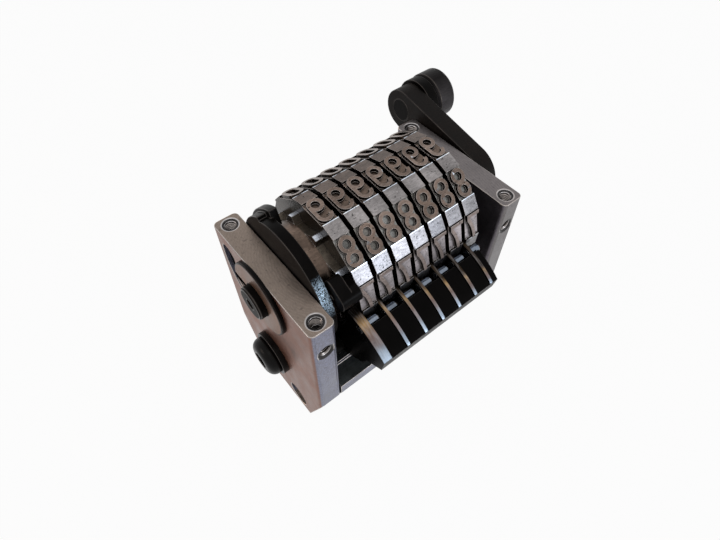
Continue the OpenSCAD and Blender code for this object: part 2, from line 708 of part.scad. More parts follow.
module cam_roller() color([0.25, 0.25, 0.28]) difference() {
    translate([roller_x, roller_place[0], roller_place[1]]) rotate([0, 90, 0]) rotate_extrude() polygon([
        [0, 0],
        [roller_r - roller_chamfer, 0],
        [roller_r, roller_chamfer],
        [roller_r, roller_w - roller_chamfer],
        [roller_r - roller_chamfer, roller_w],
        [0, roller_w]
    ]);
    bar_x(roller_x - cut, roller_end + cut, stud_r + run, roller_place);
    bar_x(roller_end - retainer_mouth, roller_end + cut, retainer_r + pass, roller_place);
}

module roller_retainer() color([0.3, 0.3, 0.3]) difference() {
    union() {
        bar_x(roller_end - retainer_mouth, roller_end - retainer_mouth + retainer_h, retainer_r, roller_place);
        bar_x(roller_end - retainer_mouth - retainer_l, roller_end - retainer_mouth, retainer_thread_r,
              roller_place);
    }
    translate([roller_end - retainer_mouth + retainer_h / 2, roller_place[0] - retainer_r, roller_place[1]
               - retainer_h / 4])
        cube([retainer_h, 2 * retainer_r, retainer_h / 2]);
}

// Ratchet teeth: a slow ramp up to a short land, then a steep face
function tooth_points(phi) = let (p = 360 / teeth, foot = ratchet_r - tooth_depth) [
    about(foot, phi - p * (1 - land_share / 2 - steep_share)),
    about(ratchet_r - tooth_depth * ramp_foot_drop_share, phi - p * ramp_foot_share),
    about(ratchet_r, phi - p * land_share / 2),
    about(ratchet_r, phi + p * land_share / 2)
];
module teeth_outline() polygon([for (i = [0 : teeth - 1]) each tooth_points(tooth_phi + i * 360 / teeth)]);

module units_ratchet() color([0.5, 0.42, 0.38]) difference() {
    union() {
        bar_x(ratchet_x, tooth_x, hub_r, [shaft_y, shaft_z]);
        slab(tooth_x, tooth_w) teeth_outline();
    }
    bar_x(ratchet_x - cut, tooth_x + tooth_w + cut, shaft_r + run, [shaft_y, shaft_z]);
}

// Raised figures, drawn upright and read from the front; the wheels carry them mirrored
bowl_r = digit_w / 2;
bowl_in = bowl_r - digit_stroke;
bowl_v = digit_h / 2 - bowl_r;

module bowl(v) translate([0, v]) difference() {
    circle(bowl_r);
    circle(bowl_in);
}

module stadium(r) {
    for (v = [-bowl_v, bowl_v]) translate([0, v]) circle(r);
    translate([-r, -bowl_v]) square([2 * r, 2 * bowl_v]);
}

module stroke_box(u0, v0, u1, v1) translate([u0, v0]) square([u1 - u0, v1 - v0]);

module figure_0() difference() {
    stadium(bowl_r);
    stadium(bowl_in);
}

module figure_1() {
    stroke_box(-digit_stroke / 2, -digit_h / 2, digit_stroke / 2, digit_h / 2);
    polygon([[-digit_stroke / 2, digit_h / 2], [-digit_stroke / 2, digit_h / 2 - digit_stroke * 1.5],
             [-bowl_r * 0.8, digit_h / 2 - digit_stroke * 1.9], [-bowl_r * 0.8, digit_h / 2 - digit_stroke]]);
}

module figure_2() {
    intersection() {
        bowl(bowl_v);
        stroke_box(-bowl_r, bowl_v, bowl_r, digit_h / 2);
    }
    polygon([[bowl_in, bowl_v], [bowl_r, bowl_v], [bowl_r, bowl_v - bowl_r * 0.2],
             [-bowl_r + digit_stroke * 1.4, -digit_h / 2 + digit_stroke], [-bowl_r, -digit_h / 2 + digit_stroke]]);
    stroke_box(-bowl_r, -digit_h / 2, bowl_r, -digit_h / 2 + digit_stroke);
}

module figure_3() difference() {
    union() {
        bowl(bowl_v);
        bowl(-bowl_v);
    }
    stroke_box(-bowl_r - cut, -bowl_v, -bowl_r * 0.15, bowl_v);
}

module figure_4() {
    stroke_box(bowl_in - digit_stroke / 2, -digit_h / 2, bowl_r - digit_stroke / 2, digit_h / 2);
    stroke_box(-bowl_r, -digit_h * 0.28, bowl_r, -digit_h * 0.28 + digit_stroke);
    polygon([[bowl_in - digit_stroke / 2, digit_h / 2], [bowl_in, digit_h / 2],
             [bowl_in, digit_h / 2 - digit_stroke], [-bowl_r + digit_stroke, -digit_h * 0.28 + digit_stroke / 2],
             [-bowl_r, -digit_h * 0.28 + digit_stroke / 2]]);
}

module figure_5() {
    stroke_box(-bowl_r, digit_h / 2 - digit_stroke, bowl_r, digit_h / 2);
    stroke_box(-bowl_r, -bowl_v + bowl_in, -bowl_in, digit_h / 2);
    stroke_box(-bowl_r, -bowl_v + bowl_in, 0, -bowl_v + bowl_r);
    difference() {
        bowl(-bowl_v);
        stroke_box(-bowl_r - cut, -bowl_v, 0, -bowl_v + bowl_r);
    }
}

module figure_6() {
    bowl(-bowl_v);
    intersection() {
        bowl(bowl_v);
        stroke_box(-bowl_r, bowl_v, bowl_r, digit_h / 2);
    }
    stroke_box(-bowl_r, -bowl_v, -bowl_in, bowl_v);
}

module figure_7() {
    sweep = bowl_r * 1.3;
    bend = (sweep * sweep + digit_h * digit_h) / (2 * sweep);
    stroke_box(-bowl_r, digit_h / 2 - digit_stroke, bowl_r, digit_h / 2);
    intersection() {
        stroke_box(-bowl_r, -digit_h / 2, bowl_r, digit_h / 2 - digit_stroke / 2);
        translate([bowl_r - sweep + bend, -digit_h / 2]) difference() {
            circle(bend);
            circle(bend - digit_stroke);
        }
    }
}

module figure_8() {
    bowl(bowl_v);
    bowl(-bowl_v);
}

module figure(n) {
    if (n == 0) figure_0();
    if (n == 1) figure_1();
    if (n == 2) figure_2();
    if (n == 3) figure_3();
    if (n == 4) figure_4();
    if (n == 5) figure_5();
    if (n == 6) figure_6();
    if (n == 7) figure_7();
    if (n == 8) figure_8();
    if (n == 9) rotate(180) figure_6();
}

// Wheel outline: a sunk floor under each figure and a flat between figures
function flat_point(at, along, phi) = [shaft_y, shaft_z] + at * spoke(phi) + along * spoke(phi + 90);
function station_points(phi) = let (blank_phi = phi + station / 2, corner = atan2(blank_l / 2, blank_at),
                                    floor_side = floor_at * tan(station / 2 - corner)) [
    flat_point(floor_at, -floor_side, phi),
    flat_point(floor_at, floor_side, phi),
    flat_point(blank_at, -blank_l / 2, blank_phi),
    flat_point(blank_at, blank_l / 2, blank_phi)
];
module wheel_outline() polygon([for (i = [0 : 9]) each station_points(first_digit_phi + i * station)]);

module number_wheel(k) color([0.62, 0.56, 0.52]) difference() {
    union() {
        slab(wheel_x(k), wheel_w) wheel_outline();
        if (k > 1) slab(wheel_x(k) - ring_w, ring_w + cut) teeth_outline();
        for (n = [0 : 9])
            translate([wheel_x(k) + wheel_w / 2, shaft_y, shaft_z])
                rotate([first_digit_phi + station * (8 - n), 0, 0])
                    translate([0, 0, floor_at - edge]) linear_extrude(digit_at - floor_at + edge)
                        mirror([1, 0]) figure(n);
    }
    bar_x(wheel_x(k) - ring_w - cut, wheel_x(k) + wheel_w + cut, shaft_r + run, [shaft_y, shaft_z]);
}

// Blade outline: a round front, a slanted lower edge, a boss at the pivot and a hollow round the wheels
module blade_outline(arc_r, hollow_r) {
    pivot = [pivot_y, pivot_z];
    difference() {
        union() {
            intersection() {
                translate(pivot + [blade_arc_y_share * blade_reach, blade_arc_z_share * blade_rise]) circle(arc_r);
                polygon(concat(
                    [[shaft_y, blade_top_z], [pivot_y - blade_reach * 1.25, blade_top_z]],
                    [for (s = blade_front_shares) pivot + [s[0] * blade_reach, s[1] * blade_rise]],
                    [pivot + blade_boss_r * boss_left_share, pivot + blade_boss_r * boss_right_share],
                    [pivot + neck_share * ([shaft_y, shaft_z] - pivot)],
                    [[shaft_y, shaft_z]]
                ));
            }
            translate(pivot) circle(blade_boss_r);
        }
        translate([shaft_y, shaft_z]) circle(hollow_r);
    }
}

// The block beside a blade ends in front of its nose, with room for the nose
module block_outline() difference() {
    blade_outline(blade_arc_r - block_set_back, wheel_r + 2 * pass);
    translate(about(nose_at, nose_phi)) {
        circle(nose_r + pass);
        rotate(90 + block_cut_phi) translate([-plate_height, -plate_height])
            square([2 * plate_height, plate_height]);
    }
}

module index_blade(k) color([0.05, 0.05, 0.06]) difference() {
    union() {
        slab(blade_x(k), blade_w(k)) blade_outline(blade_arc_r, blade_in_r);
        slab(blade_x(k) + blade_w(k) / 2, blade_end(k) - blade_x(k) - blade_w(k) / 2) block_outline();
    }
    bar_x(blade_x(k) - cut, blade_end(k) + cut, pivot_rod_r + run, [pivot_y, pivot_z]);
    bar_x(blade_x(k) - cut, blade_x(k) + blade_w(k) + cut, nose_r, about(nose_at, nose_phi));
    translate([seat_x(k), spring_y - pocket_r, base_top])
        cube([blade_end(k) - seat_x(k) + cut, 2 * pocket_r, spring_head + side - base_top]);
}

module blade_nose(k) color([0.85, 0.87, 0.9]) {
    bar_x(blade_x(k), blade_x(k) + blade_w(k) + nose_l - edge / 2, nose_r, about(nose_at, nose_phi));
    cone_x(blade_x(k) + blade_w(k) + nose_l - edge / 2, blade_x(k) + blade_w(k) + nose_l,
           nose_r, nose_r - edge / 2, about(nose_at, nose_phi));
}

function blade_coil(k) = coil_z(spring_mid_x(k), spring_y, blade_spring_r,
                                spring_foot + blade_wire / 2, spring_head - spring_foot - blade_wire, blade_turns);
module blade_springs() color([0.5, 0.5, 0.52])
    for (k = [1 : wheel_count]) wire(blade_coil(k), blade_wire / 2, [0, 0, 1]);

module side_washers() color([0.08, 0.08, 0.08]) for (s = [-1, 1]) difference() {
    bar_x(s > 0 ? right_out : left_out - side_washer_t, s > 0 ? right_out + side_washer_t : left_out,
          side_washer_r, [side_screw_back, side_screw_z]);
    bar_x(left_out - side_washer_t - cut, right_out + side_washer_t + cut, side_screw_r,
          [side_screw_back, side_screw_z]);
}

module side_screws() color([0.07, 0.07, 0.07]) for (s = [-1, 1])
    button_screw(s * (right_out + side_washer_t), s, side_head_r, side_head_h, side_screw_r,
                 side_screw_l + side_washer_t, side_hex_r, side_hex_depth, [side_screw_back, side_screw_z]);

module base_screws() color([0.1, 0.1, 0.1]) for (s = [-1, 1], u = [-1, 1])
    translate([s * (right_out - base_mouth_depth), u * base_screw_side, base_screw_z])
        rotate([0, s * 90, 0]) difference() {
            union() {
                cylinder(h = base_head_h, r = base_head_r);
                translate([0, 0, -base_screw_l]) cylinder(h = base_screw_l + cut, r = base_shank_r);
            }
            translate([0, 0, base_head_h - hex_depth]) cylinder(h = hex_depth + cut, r = hex_r, $fn = 6);
        }

echo(blade_spring_gap = self_gap(blade_coil(1), blade_wire));
echo(pawl_spring_gap = self_gap(pawl_coil, pawl_wire));
echo(return_spring_gap = self_gap(return_coil, return_wire));

left_side_plate();
right_side_plate();
base_block();
rear_tie_rod();
left_bush();
right_bush();
main_shaft();
swing_arm();
stop_pin();
drive_pawl();
drive_pawl_pin();
pawl_spring();
shaft_collar();
return_spring();
spring_anchor_pin();
crank_lever();
lever_key();
lever_washer();
lever_screw();
roller_stud();
roller_collar();
cam_roller();
roller_retainer();
units_ratchet();
for (k = [1 : wheel_count]) number_wheel(k);
blade_pivot_rod();
pivot_sleeves();
for (k = [1 : wheel_count]) index_blade(k);
for (k = [1 : wheel_count]) blade_nose(k);
blade_springs();
side_screws();
side_washers();
base_screws();
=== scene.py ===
import math

import bmesh
import bpy
from mathutils import Matrix, Vector


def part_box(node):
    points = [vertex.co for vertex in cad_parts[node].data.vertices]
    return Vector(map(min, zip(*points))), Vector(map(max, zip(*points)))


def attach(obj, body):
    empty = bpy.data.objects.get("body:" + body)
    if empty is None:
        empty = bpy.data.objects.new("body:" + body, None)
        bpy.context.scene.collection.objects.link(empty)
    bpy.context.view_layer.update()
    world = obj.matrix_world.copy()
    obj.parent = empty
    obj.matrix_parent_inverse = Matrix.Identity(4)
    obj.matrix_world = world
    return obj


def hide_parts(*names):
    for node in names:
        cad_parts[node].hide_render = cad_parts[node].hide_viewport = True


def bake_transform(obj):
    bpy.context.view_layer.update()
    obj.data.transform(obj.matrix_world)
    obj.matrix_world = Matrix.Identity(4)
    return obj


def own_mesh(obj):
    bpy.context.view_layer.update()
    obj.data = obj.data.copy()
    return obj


bl_info = {
    "name": "Numbering box",
    "version": (1, 0, 0),
    "blender": (4, 5, 0),
    "location": "3D View > Sidebar > Numbering box",
    "description": "Finishes, springs, threads and stage for a seven-wheel numbering box",
    "category": "Object",
}

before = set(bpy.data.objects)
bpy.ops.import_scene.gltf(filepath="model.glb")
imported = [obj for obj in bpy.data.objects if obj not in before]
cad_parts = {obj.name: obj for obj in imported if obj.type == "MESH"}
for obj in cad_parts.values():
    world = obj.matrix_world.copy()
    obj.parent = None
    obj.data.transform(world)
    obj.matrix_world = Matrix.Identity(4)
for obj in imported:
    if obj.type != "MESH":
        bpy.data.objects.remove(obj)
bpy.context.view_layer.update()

MM = 0.001
FINISHES = {}

# Places in the CAD frame that the finishes follow

SHAFT = Vector((0, 0.3, 42)) * MM
WHEELS = range(1, 8)
WHEEL_PITCH = 5.07 * MM
WHEELS_FROM = -16.24 * MM
BLADES_FROM = -11.57 * MM
BLADE_SHARE = 0.158
FIRST_BLADE_TO = -15.9 * MM
BLADE_EDGE_TOP = (37.35 * MM, 37.55 * MM)
BLADE_REACH = 27.0 * MM
# Where the painted reflection on the blades' front edges starts; painted shade reaches lower on the blades to
# the right
BLADE_TONE_MIDDLE, BLADE_TONE_LEAST, BLADE_TONE_SLOPE = 19.2 * MM, 16.5 * MM, 0.283
PLATE_MIDDLE = 26.65 * MM
PLATE_INSIDE = (24.6 * MM, 24.2 * MM)
TOP_HOLE_Y, TOP_MOUTH_R = 15.75 * MM, 2.0 * MM
FRONT_HOLE_Z, FRONT_MOUTH_R = 41.3 * MM, 2.15 * MM
FRONT_MOUTHS_TO = -10 * MM
HOLE_R = 1.25 * MM
TEETH_FROM = (-17.66 * MM, -17.54 * MM)
LAND_R = (13.66 * MM, 13.74 * MM)
WALL_TOP = (15.6 * MM, 15.2 * MM)
FLAT_HEIGHT = (16.3 * MM, 16.5 * MM)
FIGURE_HEIGHT = (16.80 * MM, 16.84 * MM)
FLAT_END = (-1.58 * MM, -1.66 * MM)
ARM_SHEEN_FROM = (-8 * MM, -9 * MM)

# Camera: turn and rise in degrees, and its place

CAMERA_TURN, CAMERA_RISE = -38.964, 53.031
CAMERA_PLACE = Vector((-50.49, -58.49, 129.71)) * MM
LIGHT_AIM = Vector((0, 0, 30)) * MM

# Lamps: name, place in metres, size in metres, power in watts, colour

LAMPS = (
    ("left_panel", (-0.45, 0.16, 0.20), 0.16, 0.30, (1.0, 0.84, 0.74)),
    ("front_panel", (0.20, -0.50, 0.10), 0.16, 0.60, (0.86, 0.92, 1.0)),
    ("top_panel", (-0.05, -0.15, 0.55), 0.30, 0.25, (1.0, 0.98, 0.96)))
FLOOR_GLOW = 0.95
SKY_LIGHT = 0.35

# Tones of bare and blacked metal, with painted glints and highlights, and painted shade

# painted warm glint on the side plates' back-facing edges
WARM_EDGE_GLINT = (0.62, 0.40, 0.26, 1)
MOUTH_EDGE = (0.40, 0.38, 0.38, 1)
# painted shade in the mouths of the plates' tapped holes
MOUTH_SHADE = (0.028, 0.026, 0.026, 1)
# painted shade on the bushes' rims and broken edges
BUSH_RIM_SHADE = (0.0025, 0.0020, 0.0020, 1)
BUSH_EDGE_SHADE = (0.012, 0.009, 0.008)
# painted highlight on the lands of the ratchet's teeth
LAND_GLINT = (0.62, 0.66, 0.74, 1)
# painted highlight along one end of each wheel flat
FLAT_EDGE_GLINT = (0.80, 0.88, 1.0, 1)
BLADE_STREAK = (0.42, 0.42, 0.45, 1)
# painted highlight on the swing arm's front rim
ARM_RIM_SHEEN = (0.52, 0.68, 0.84, 1)
# painted shade in hollows
HOLLOW_SHADE = (0.010, 0.008, 0.007, 1)

# Painted reflection down the blades' front edges, dark at the top with painted shade: share of the way and
# colour

BLADE_REFLECTION_TONES = (
    (0.0, (0.030, 0.020, 0.012, 1)),
    (0.12, (0.08, 0.050, 0.026, 1)),
    (0.24, (0.26, 0.17, 0.085, 1)),
    (0.36, (0.20, 0.14, 0.095, 1)),
    (0.52, (0.155, 0.110, 0.100, 1)),
    (0.68, (0.19, 0.165, 0.17, 1)),
    (0.82, (0.28, 0.33, 0.40, 1)),
    (1.0, (0.38, 0.47, 0.58, 1)))

# Steps in one turn of a coil or a thread

TURN_STEPS = 28

# Features per metre of the clouds, pits and nicks that every metal carries

CLOUD_SCALE, PIT_SCALE, NICK_SCALE = 170, 1500, 2100


# Sizes and colours

class NumberingBoxSizes(bpy.types.PropertyGroup):
    """Sizes of the pieces and edges that the scene adds."""

    edge_width: bpy.props.FloatProperty(
        name="Broken edge", description="Width of the broken edges of machined pieces",
        default=0.16 * MM, min=0, unit="LENGTH")
    fine_edge_width: bpy.props.FloatProperty(
        name="Fine edge", description="Width of the worn edges of wheels, figures and teeth",
        default=0.035 * MM, min=0, unit="LENGTH")
    thread_pitch: bpy.props.FloatProperty(
        name="Thread pitch", description="Pitch of the threads in the tapped holes",
        default=0.5 * MM, min=0, unit="LENGTH")
    floor_radius: bpy.props.FloatProperty(
        name="Floor radius", description="Radius of the pale floor",
        default=2.0, min=0.5, unit="LENGTH")
    lens: bpy.props.FloatProperty(
        name="Lens", description="Focal length of the camera on a 36 mm sensor",
        default=24.88, min=10, subtype="DISTANCE_CAMERA")


def colour_property(name, description, value):
    """A linear colour that the user can change."""
    return bpy.props.FloatVectorProperty(
        name=name, description=description, subtype="COLOR", size=3, min=0, max=1, default=value)


class NumberingBoxColours(bpy.types.PropertyGroup):
    """Base colours of the finishes."""

    ground_steel: colour_property("Ground steel", "Ground side plates", (0.172, 0.146, 0.130))
    base_steel: colour_property("Base steel", "Base block", (0.105, 0.118, 0.122))
    bright_steel: colour_property("Bright steel", "Pins, rods and collar", (0.26, 0.26, 0.28))
    bush_metal: colour_property("Bush metal", "Bushes", (0.165, 0.092, 0.062))
    blacked_steel: colour_property("Blacked steel", "Shaft, arm, pawl and screws", (0.0034, 0.0027, 0.0025))
    lever_black: colour_property("Lever black", "Crank lever", (0.0085, 0.0062, 0.0052))
    roller_steel: colour_property("Roller steel", "Cam roller", (0.009, 0.0072, 0.0075))
    ratchet_steel: colour_property("Ratchet steel", "Units ratchet", (0.140, 0.100, 0.078))
    wheel_steel: colour_property("Wheel steel", "Number wheels", (0.235, 0.215, 0.205))
    nose_steel: colour_property("Nose steel", "Detent noses", (0.19, 0.22, 0.27))
    thread_steel: colour_property("Thread steel", "Threads in the tapped holes", (0.19, 0.17, 0.16))
    spring_steel: colour_property("Spring steel", "Springs", (0.11, 0.10, 0.095))
    worn_steel: colour_property("Worn steel", "Bare edges of steel pieces", (0.42, 0.38, 0.36))
    worn_black: colour_property("Worn black", "Rubbed edges of blacked pieces", (0.040, 0.034, 0.031))
    floor: colour_property("Floor", "Floor and background", (0.93, 0.93, 0.93))


# Materials

def add(tree, kind, inputs=None, **settings):
    """A shader node with its settings; an input is a value or another node's socket."""
    made = tree.nodes.new(kind)
    for key, value in settings.items():
        setattr(made, key, value)
    for key, value in (inputs or {}).items():
        if isinstance(value, bpy.types.NodeSocket):
            tree.links.new(value, made.inputs[key])
        else:
            made.inputs[key].default_value = value
    return made


def rgba(colour, *gains):
    """A colour as four numbers, brightened by one gain or by one for each part."""
    red, green, blue = gains if len(gains) == 3 else 3 * (gains or (1.0,))
    return (colour[0] * red, colour[1] * green, colour[2] * blue, 1.0)


def ramp(tree, factor, low, high):
    """A factor stretched so that low becomes 0 and high becomes 1."""
    made = add(tree, "ShaderNodeMapRange", {"Value": factor, "From Min": low, "From Max": high})
    return made.outputs["Result"]


def noise(tree, place, scale, stretch=(1, 1, 1), detail=4, roughness=0.6):
    """Noise on stretched coordinates; scale is in features per metre."""
    spread = add(tree, "ShaderNodeMapping", {"Vector": place, "Scale": stretch})
    made = add(tree, "ShaderNodeTexNoise",
               {"Vector": spread.outputs[0], "Scale": scale, "Detail": detail, "Roughness": roughness})
    return made.outputs[0]


def mix(tree, factor, first, second, way="MIX"):
    """Two colours mixed by a factor."""
    made = add(tree, "ShaderNodeMix", data_type="RGBA", blend_type=way)
    for socket, value in ((made.inputs[0], factor), (made.inputs[6], first), (made.inputs[7], second)):
        if isinstance(value, bpy.types.NodeSocket):
            tree.links.new(value, socket)
        else:
            socket.default_value = value
    return made.outputs[2]


def maths(tree, way, first, second=0.0):
    """One sum on numbers or sockets."""
    return add(tree, "ShaderNodeMath", {0: first, 1: second}, operation=way).outputs[0]


def axes(tree, vector):
    """The three parts of a vector."""
    return add(tree, "ShaderNodeSeparateXYZ", {0: vector}).outputs


def distance(tree, first, second):
    """The length of two steps at right angles to each other."""
    return maths(tree, "SQRT", maths(tree, "ADD", maths(tree, "MULTIPLY", first, first),
                                     maths(tree, "MULTIPLY", second, second)))


def swing(tree, factor, depth):
    """A factor from 0 to 1 turned into a gain that swings by depth about 1."""
    made = maths(tree, "MULTIPLY_ADD", factor, 2 * depth)
    made.node.inputs[2].default_value = 1 - depth
    return made


def sideways(tree, facing, low=0.6, high=0.8):
    """1 on faces that look along X, either way."""
    return ramp(tree, maths(tree, "ABSOLUTE", facing[0]), low, high)


def forwards(tree, facing, low, high):
    """1 on faces that look to the front."""
    return ramp(tree, maths(tree, "MULTIPLY", facing[1], -1.0), low, high)


def shade_in_hollows(tree, tone, reach):
    """The tone, with painted shade where other faces stand nearer than reach."""
    open_share = add(tree, "ShaderNodeAmbientOcclusion", {"Distance": reach}, samples=8).outputs["AO"]
    return mix(tree, ramp(tree, open_share, 0.30, 0.95), HOLLOW_SHADE, tone)


def seen_rays(tree):
    """1 for rays that come from the camera, straight or by way of a mirror or glass."""
    path = add(tree, "ShaderNodeLightPath").outputs
    rays = maths(tree, "MAXIMUM", path["Is Camera Ray"], path["Is Glossy Ray"])
    return maths(tree, "MAXIMUM", rays, path["Is Transmission Ray"])


def new_finish(name, metallic, rough, specular=0.5):
    """An empty material with its shader, its object coordinates and its normal split in three."""
    made = bpy.data.materials.new(f"{name}_finish")
    FINISHES[name] = made
    made.use_nodes = True
    tree = made.node_tree
    tree.nodes.clear()
    shader = add(tree, "ShaderNodeBsdfPrincipled")
    shader.inputs["Metallic"].default_value = metallic
    shader.inputs["Roughness"].default_value = rough
    shader.inputs["Specular IOR Level"].default_value = specular
    out = add(tree, "ShaderNodeOutputMaterial")
    tree.links.new(shader.outputs[0], out.inputs[0])
    where = add(tree, "ShaderNodeTexCoord")
    return tree, shader, where.outputs["Object"], axes(tree, where.outputs["Normal"])


def dress(tree, shader, place, tone, rough, grain=(1, 1, 1), grain_scale=2500, grain_depth=0.2, cloud=0.3,
          specks=0.3, relief=0.02, extra=None):
    """Lays grain, cloudy tone, dark pits and bright nicks over a base tone, with relief to match."""
    lines = noise(tree, place, grain_scale, grain, 3, 0.7)
    clouds = noise(tree, place, CLOUD_SCALE, detail=5)
    pits = ramp(tree, noise(tree, place, PIT_SCALE, detail=2), 0.36, 0.30)
    nicks = ramp(tree, noise(tree, place, NICK_SCALE, detail=2), 0.70, 0.76)
    shade = maths(tree, "MULTIPLY", swing(tree, ramp(tree, lines, 0.3, 0.7), grain_depth),
                  swing(tree, ramp(tree, clouds, 0.32, 0.68), cloud))
    clean = maths(tree, "SUBTRACT", 1.0, maths(tree, "MULTIPLY", pits, specks))
    shade = maths(tree, "MULTIPLY", shade, clean)
    shade = maths(tree, "ADD", shade, maths(tree, "MULTIPLY", nicks, specks * 1.5))
    grey = add(tree, "ShaderNodeCombineXYZ", {0: shade, 1: shade, 2: shade}).outputs[0]
    tree.links.new(mix(tree, 1.0, tone, grey, "MULTIPLY"), shader.inputs["Base Color"])
    gloss = add(tree, "ShaderNodeMapRange", {"Value": clouds, "From Min": 0.3, "From Max": 0.7,
                                             "To Min": rough * 0.82, "To Max": rough * 1.22})
    tree.links.new(gloss.outputs[0], shader.inputs["Roughness"])
    height = lines if extra is None else maths(tree, "ADD", lines, extra)
    bump = add(tree, "ShaderNodeBump", {"Height": height, "Strength": 0.6, "Distance": relief * MM})
    tree.links.new(bump.outputs[0], shader.inputs["Normal"])


def even_metal(name, colour, metallic=0.85, rough=0.38, specular=0.5, **surface):
    """Metal of one colour all round."""
    tree, shader, place = new_finish(name, metallic, rough, specular)[:3]
    dress(tree, shader, place, rgba(colour), rough, **surface)


def hole_mouths(tree, place):
    """1 inside the mouths of the plates' tapped holes, 0 elsewhere."""
    spot = axes(tree, place)
    off = maths(tree, "SUBTRACT", maths(tree, "ABSOLUTE", spot[0]), PLATE_MIDDLE)
    found = []
    for axis, middle, radius in ((1, TOP_HOLE_Y, TOP_MOUTH_R), (2, FRONT_HOLE_Z, FRONT_MOUTH_R)):
        other = maths(tree, "SUBTRACT", maths(tree, "ABSOLUTE", spot[axis]), middle)
        found.append(ramp(tree, distance(tree, off, other), radius + 0.02 * MM, radius - 0.04 * MM))
    ahead = maths(tree, "LESS_THAN", spot[1], FRONT_MOUTHS_TO)
    return maths(tree, "MAXIMUM", found[0], maths(tree, "MULTIPLY", found[1], ahead))


def plate_edge(name, colour):
    """Broken edges of the side plates: bare metal, with a painted warm glint on the edges that face the back,
    neutral in the mouths of the holes.
    """
    tree, shader, place, facing = new_finish(name, 0.95, 0.26)
    back = ramp(tree, facing[1], 0.1, 0.6)
    # painted warm glint on the edges that face the back
    bare = mix(tree, back, rgba(colour, 0.9), WARM_EDGE_GLINT)
    tone = mix(tree, hole_mouths(tree, place), bare, MOUTH_EDGE)
    dress(tree, shader, place, tone, 0.26, grain_scale=4000, specks=0.2)


def front_tone(tree, place, right, colour):
    """The flecked front faces, with painted cool light, stronger on the left and more neutral to the right.
    """
    # painted cool light on the front faces
    front = mix(tree, right, rgba(colour, 1.30, 1.62, 2.50), rgba(colour, 1.02, 1.14, 1.32))
    fleck = ramp(tree, noise(tree, place, 3400, detail=3, roughness=0.75), 0.40, 0.60)
    return mix(tree, maths(tree, "MULTIPLY", fleck, 0.55), front, rgba(colour, 0.75))


def base_face(name, colour, ground):
    """Base block: its front with the plates' painted cool light, its top and back dull in the plain base
    tone.
    """
    tree, shader, place, facing = new_finish(name, 0.8, 0.36)
    across = axes(tree, place)[0]
    right = ramp(tree, across, -5 * MM, 25 * MM)
    front = forwards(tree, facing, 0.5, 0.8)
    # the front faces take the painted cool light of front_tone
    tone = mix(tree, front, rgba(colour), front_tone(tree, place, right, ground))
    dress(tree, shader, place, tone, 0.36, grain=(0.05, 1, 1), grain_scale=3600, cloud=0.3)


def ground_plate(name, colour):
    """Side plates: tops swirl-ground; painted warm light on the outer faces, painted cool light on the
    fronts, painted shade on the inner faces, the left plate lit and the right shaded.
    """
    tree, shader, place, facing = new_finish(name, 0.8, 0.4)
    across = axes(tree, place)[0]
    right = ramp(tree, across, -5 * MM, 5 * MM)
    top = ramp(tree, facing[2], 0.6, 0.8)
    front = front_tone(tree, place, right, colour)
    inner = ramp(tree, maths(tree, "ABSOLUTE", across), *PLATE_INSIDE)
    # painted light: the left plate's top lighter and warmer, the right plate's top darker and cooler
    lid = mix(tree, right, rgba(colour, 1.26, 1.18, 1.10), rgba(colour, 0.88, 0.94, 1.08))
    tone = mix(tree, top, front, lid)
    # painted warm light on the outer faces, painted shade on the inner faces
    outer = mix(tree, inner, rgba(colour, 1.10, 0.59, 0.45), rgba(colour, 0.75, 0.78, 1.0))
    tone = mix(tree, sideways(tree, facing), tone, outer)
    centre = add(tree, "ShaderNodeMapping", {"Vector": place, "Location": (0.012, 0.004, 0)})
    swirl = add(tree, "ShaderNodeTexWave",
                {"Vector": centre.outputs[0], "Scale": 480, "Distortion": 5.0, "Detail": 3.0,
                 "Detail Scale": 1.5},
                wave_type="RINGS", rings_direction="Z")
    arcs = maths(tree, "MULTIPLY", swirl.outputs["Fac"], top)
    tone = mix(tree, maths(tree, "MULTIPLY", arcs, 0.16), tone, rgba(colour, 1.9))
    stain = ramp(tree, noise(tree, place, 420, detail=6, roughness=0.7), 0.60, 0.78)
    tone = mix(tree, maths(tree, "MULTIPLY", stain, 0.45), tone, rgba(colour, 0.45))
    # painted shade darkens the mouths of the tapped holes
    tone = mix(tree, hole_mouths(tree, place), tone, MOUTH_SHADE)
    dress(tree, shader, place, tone, 0.4, grain=(1, 0.25, 0.25), grain_scale=4200, grain_depth=0.14,
          cloud=0.12, specks=0.35, relief=0.012, extra=arcs)


def bush_face(name, colour):
    """Bush: a turned pinkish face and a rim painted near black as painted shade."""
    tree, shader, place, facing = new_finish(name, 0.0, 0.38, 0.05)
    face = sideways(tree, facing, 0.75, 0.9)
    tree.links.new(maths(tree, "MULTIPLY", face, 0.7), shader.inputs["Metallic"])
    # the rim is painted near black: painted shade
    tone = mix(tree, face, BUSH_RIM_SHADE, rgba(colour))
    dress(tree, shader, place, tone, 0.38, grain_scale=3000, grain_depth=0.12, cloud=0.25, specks=0.4)


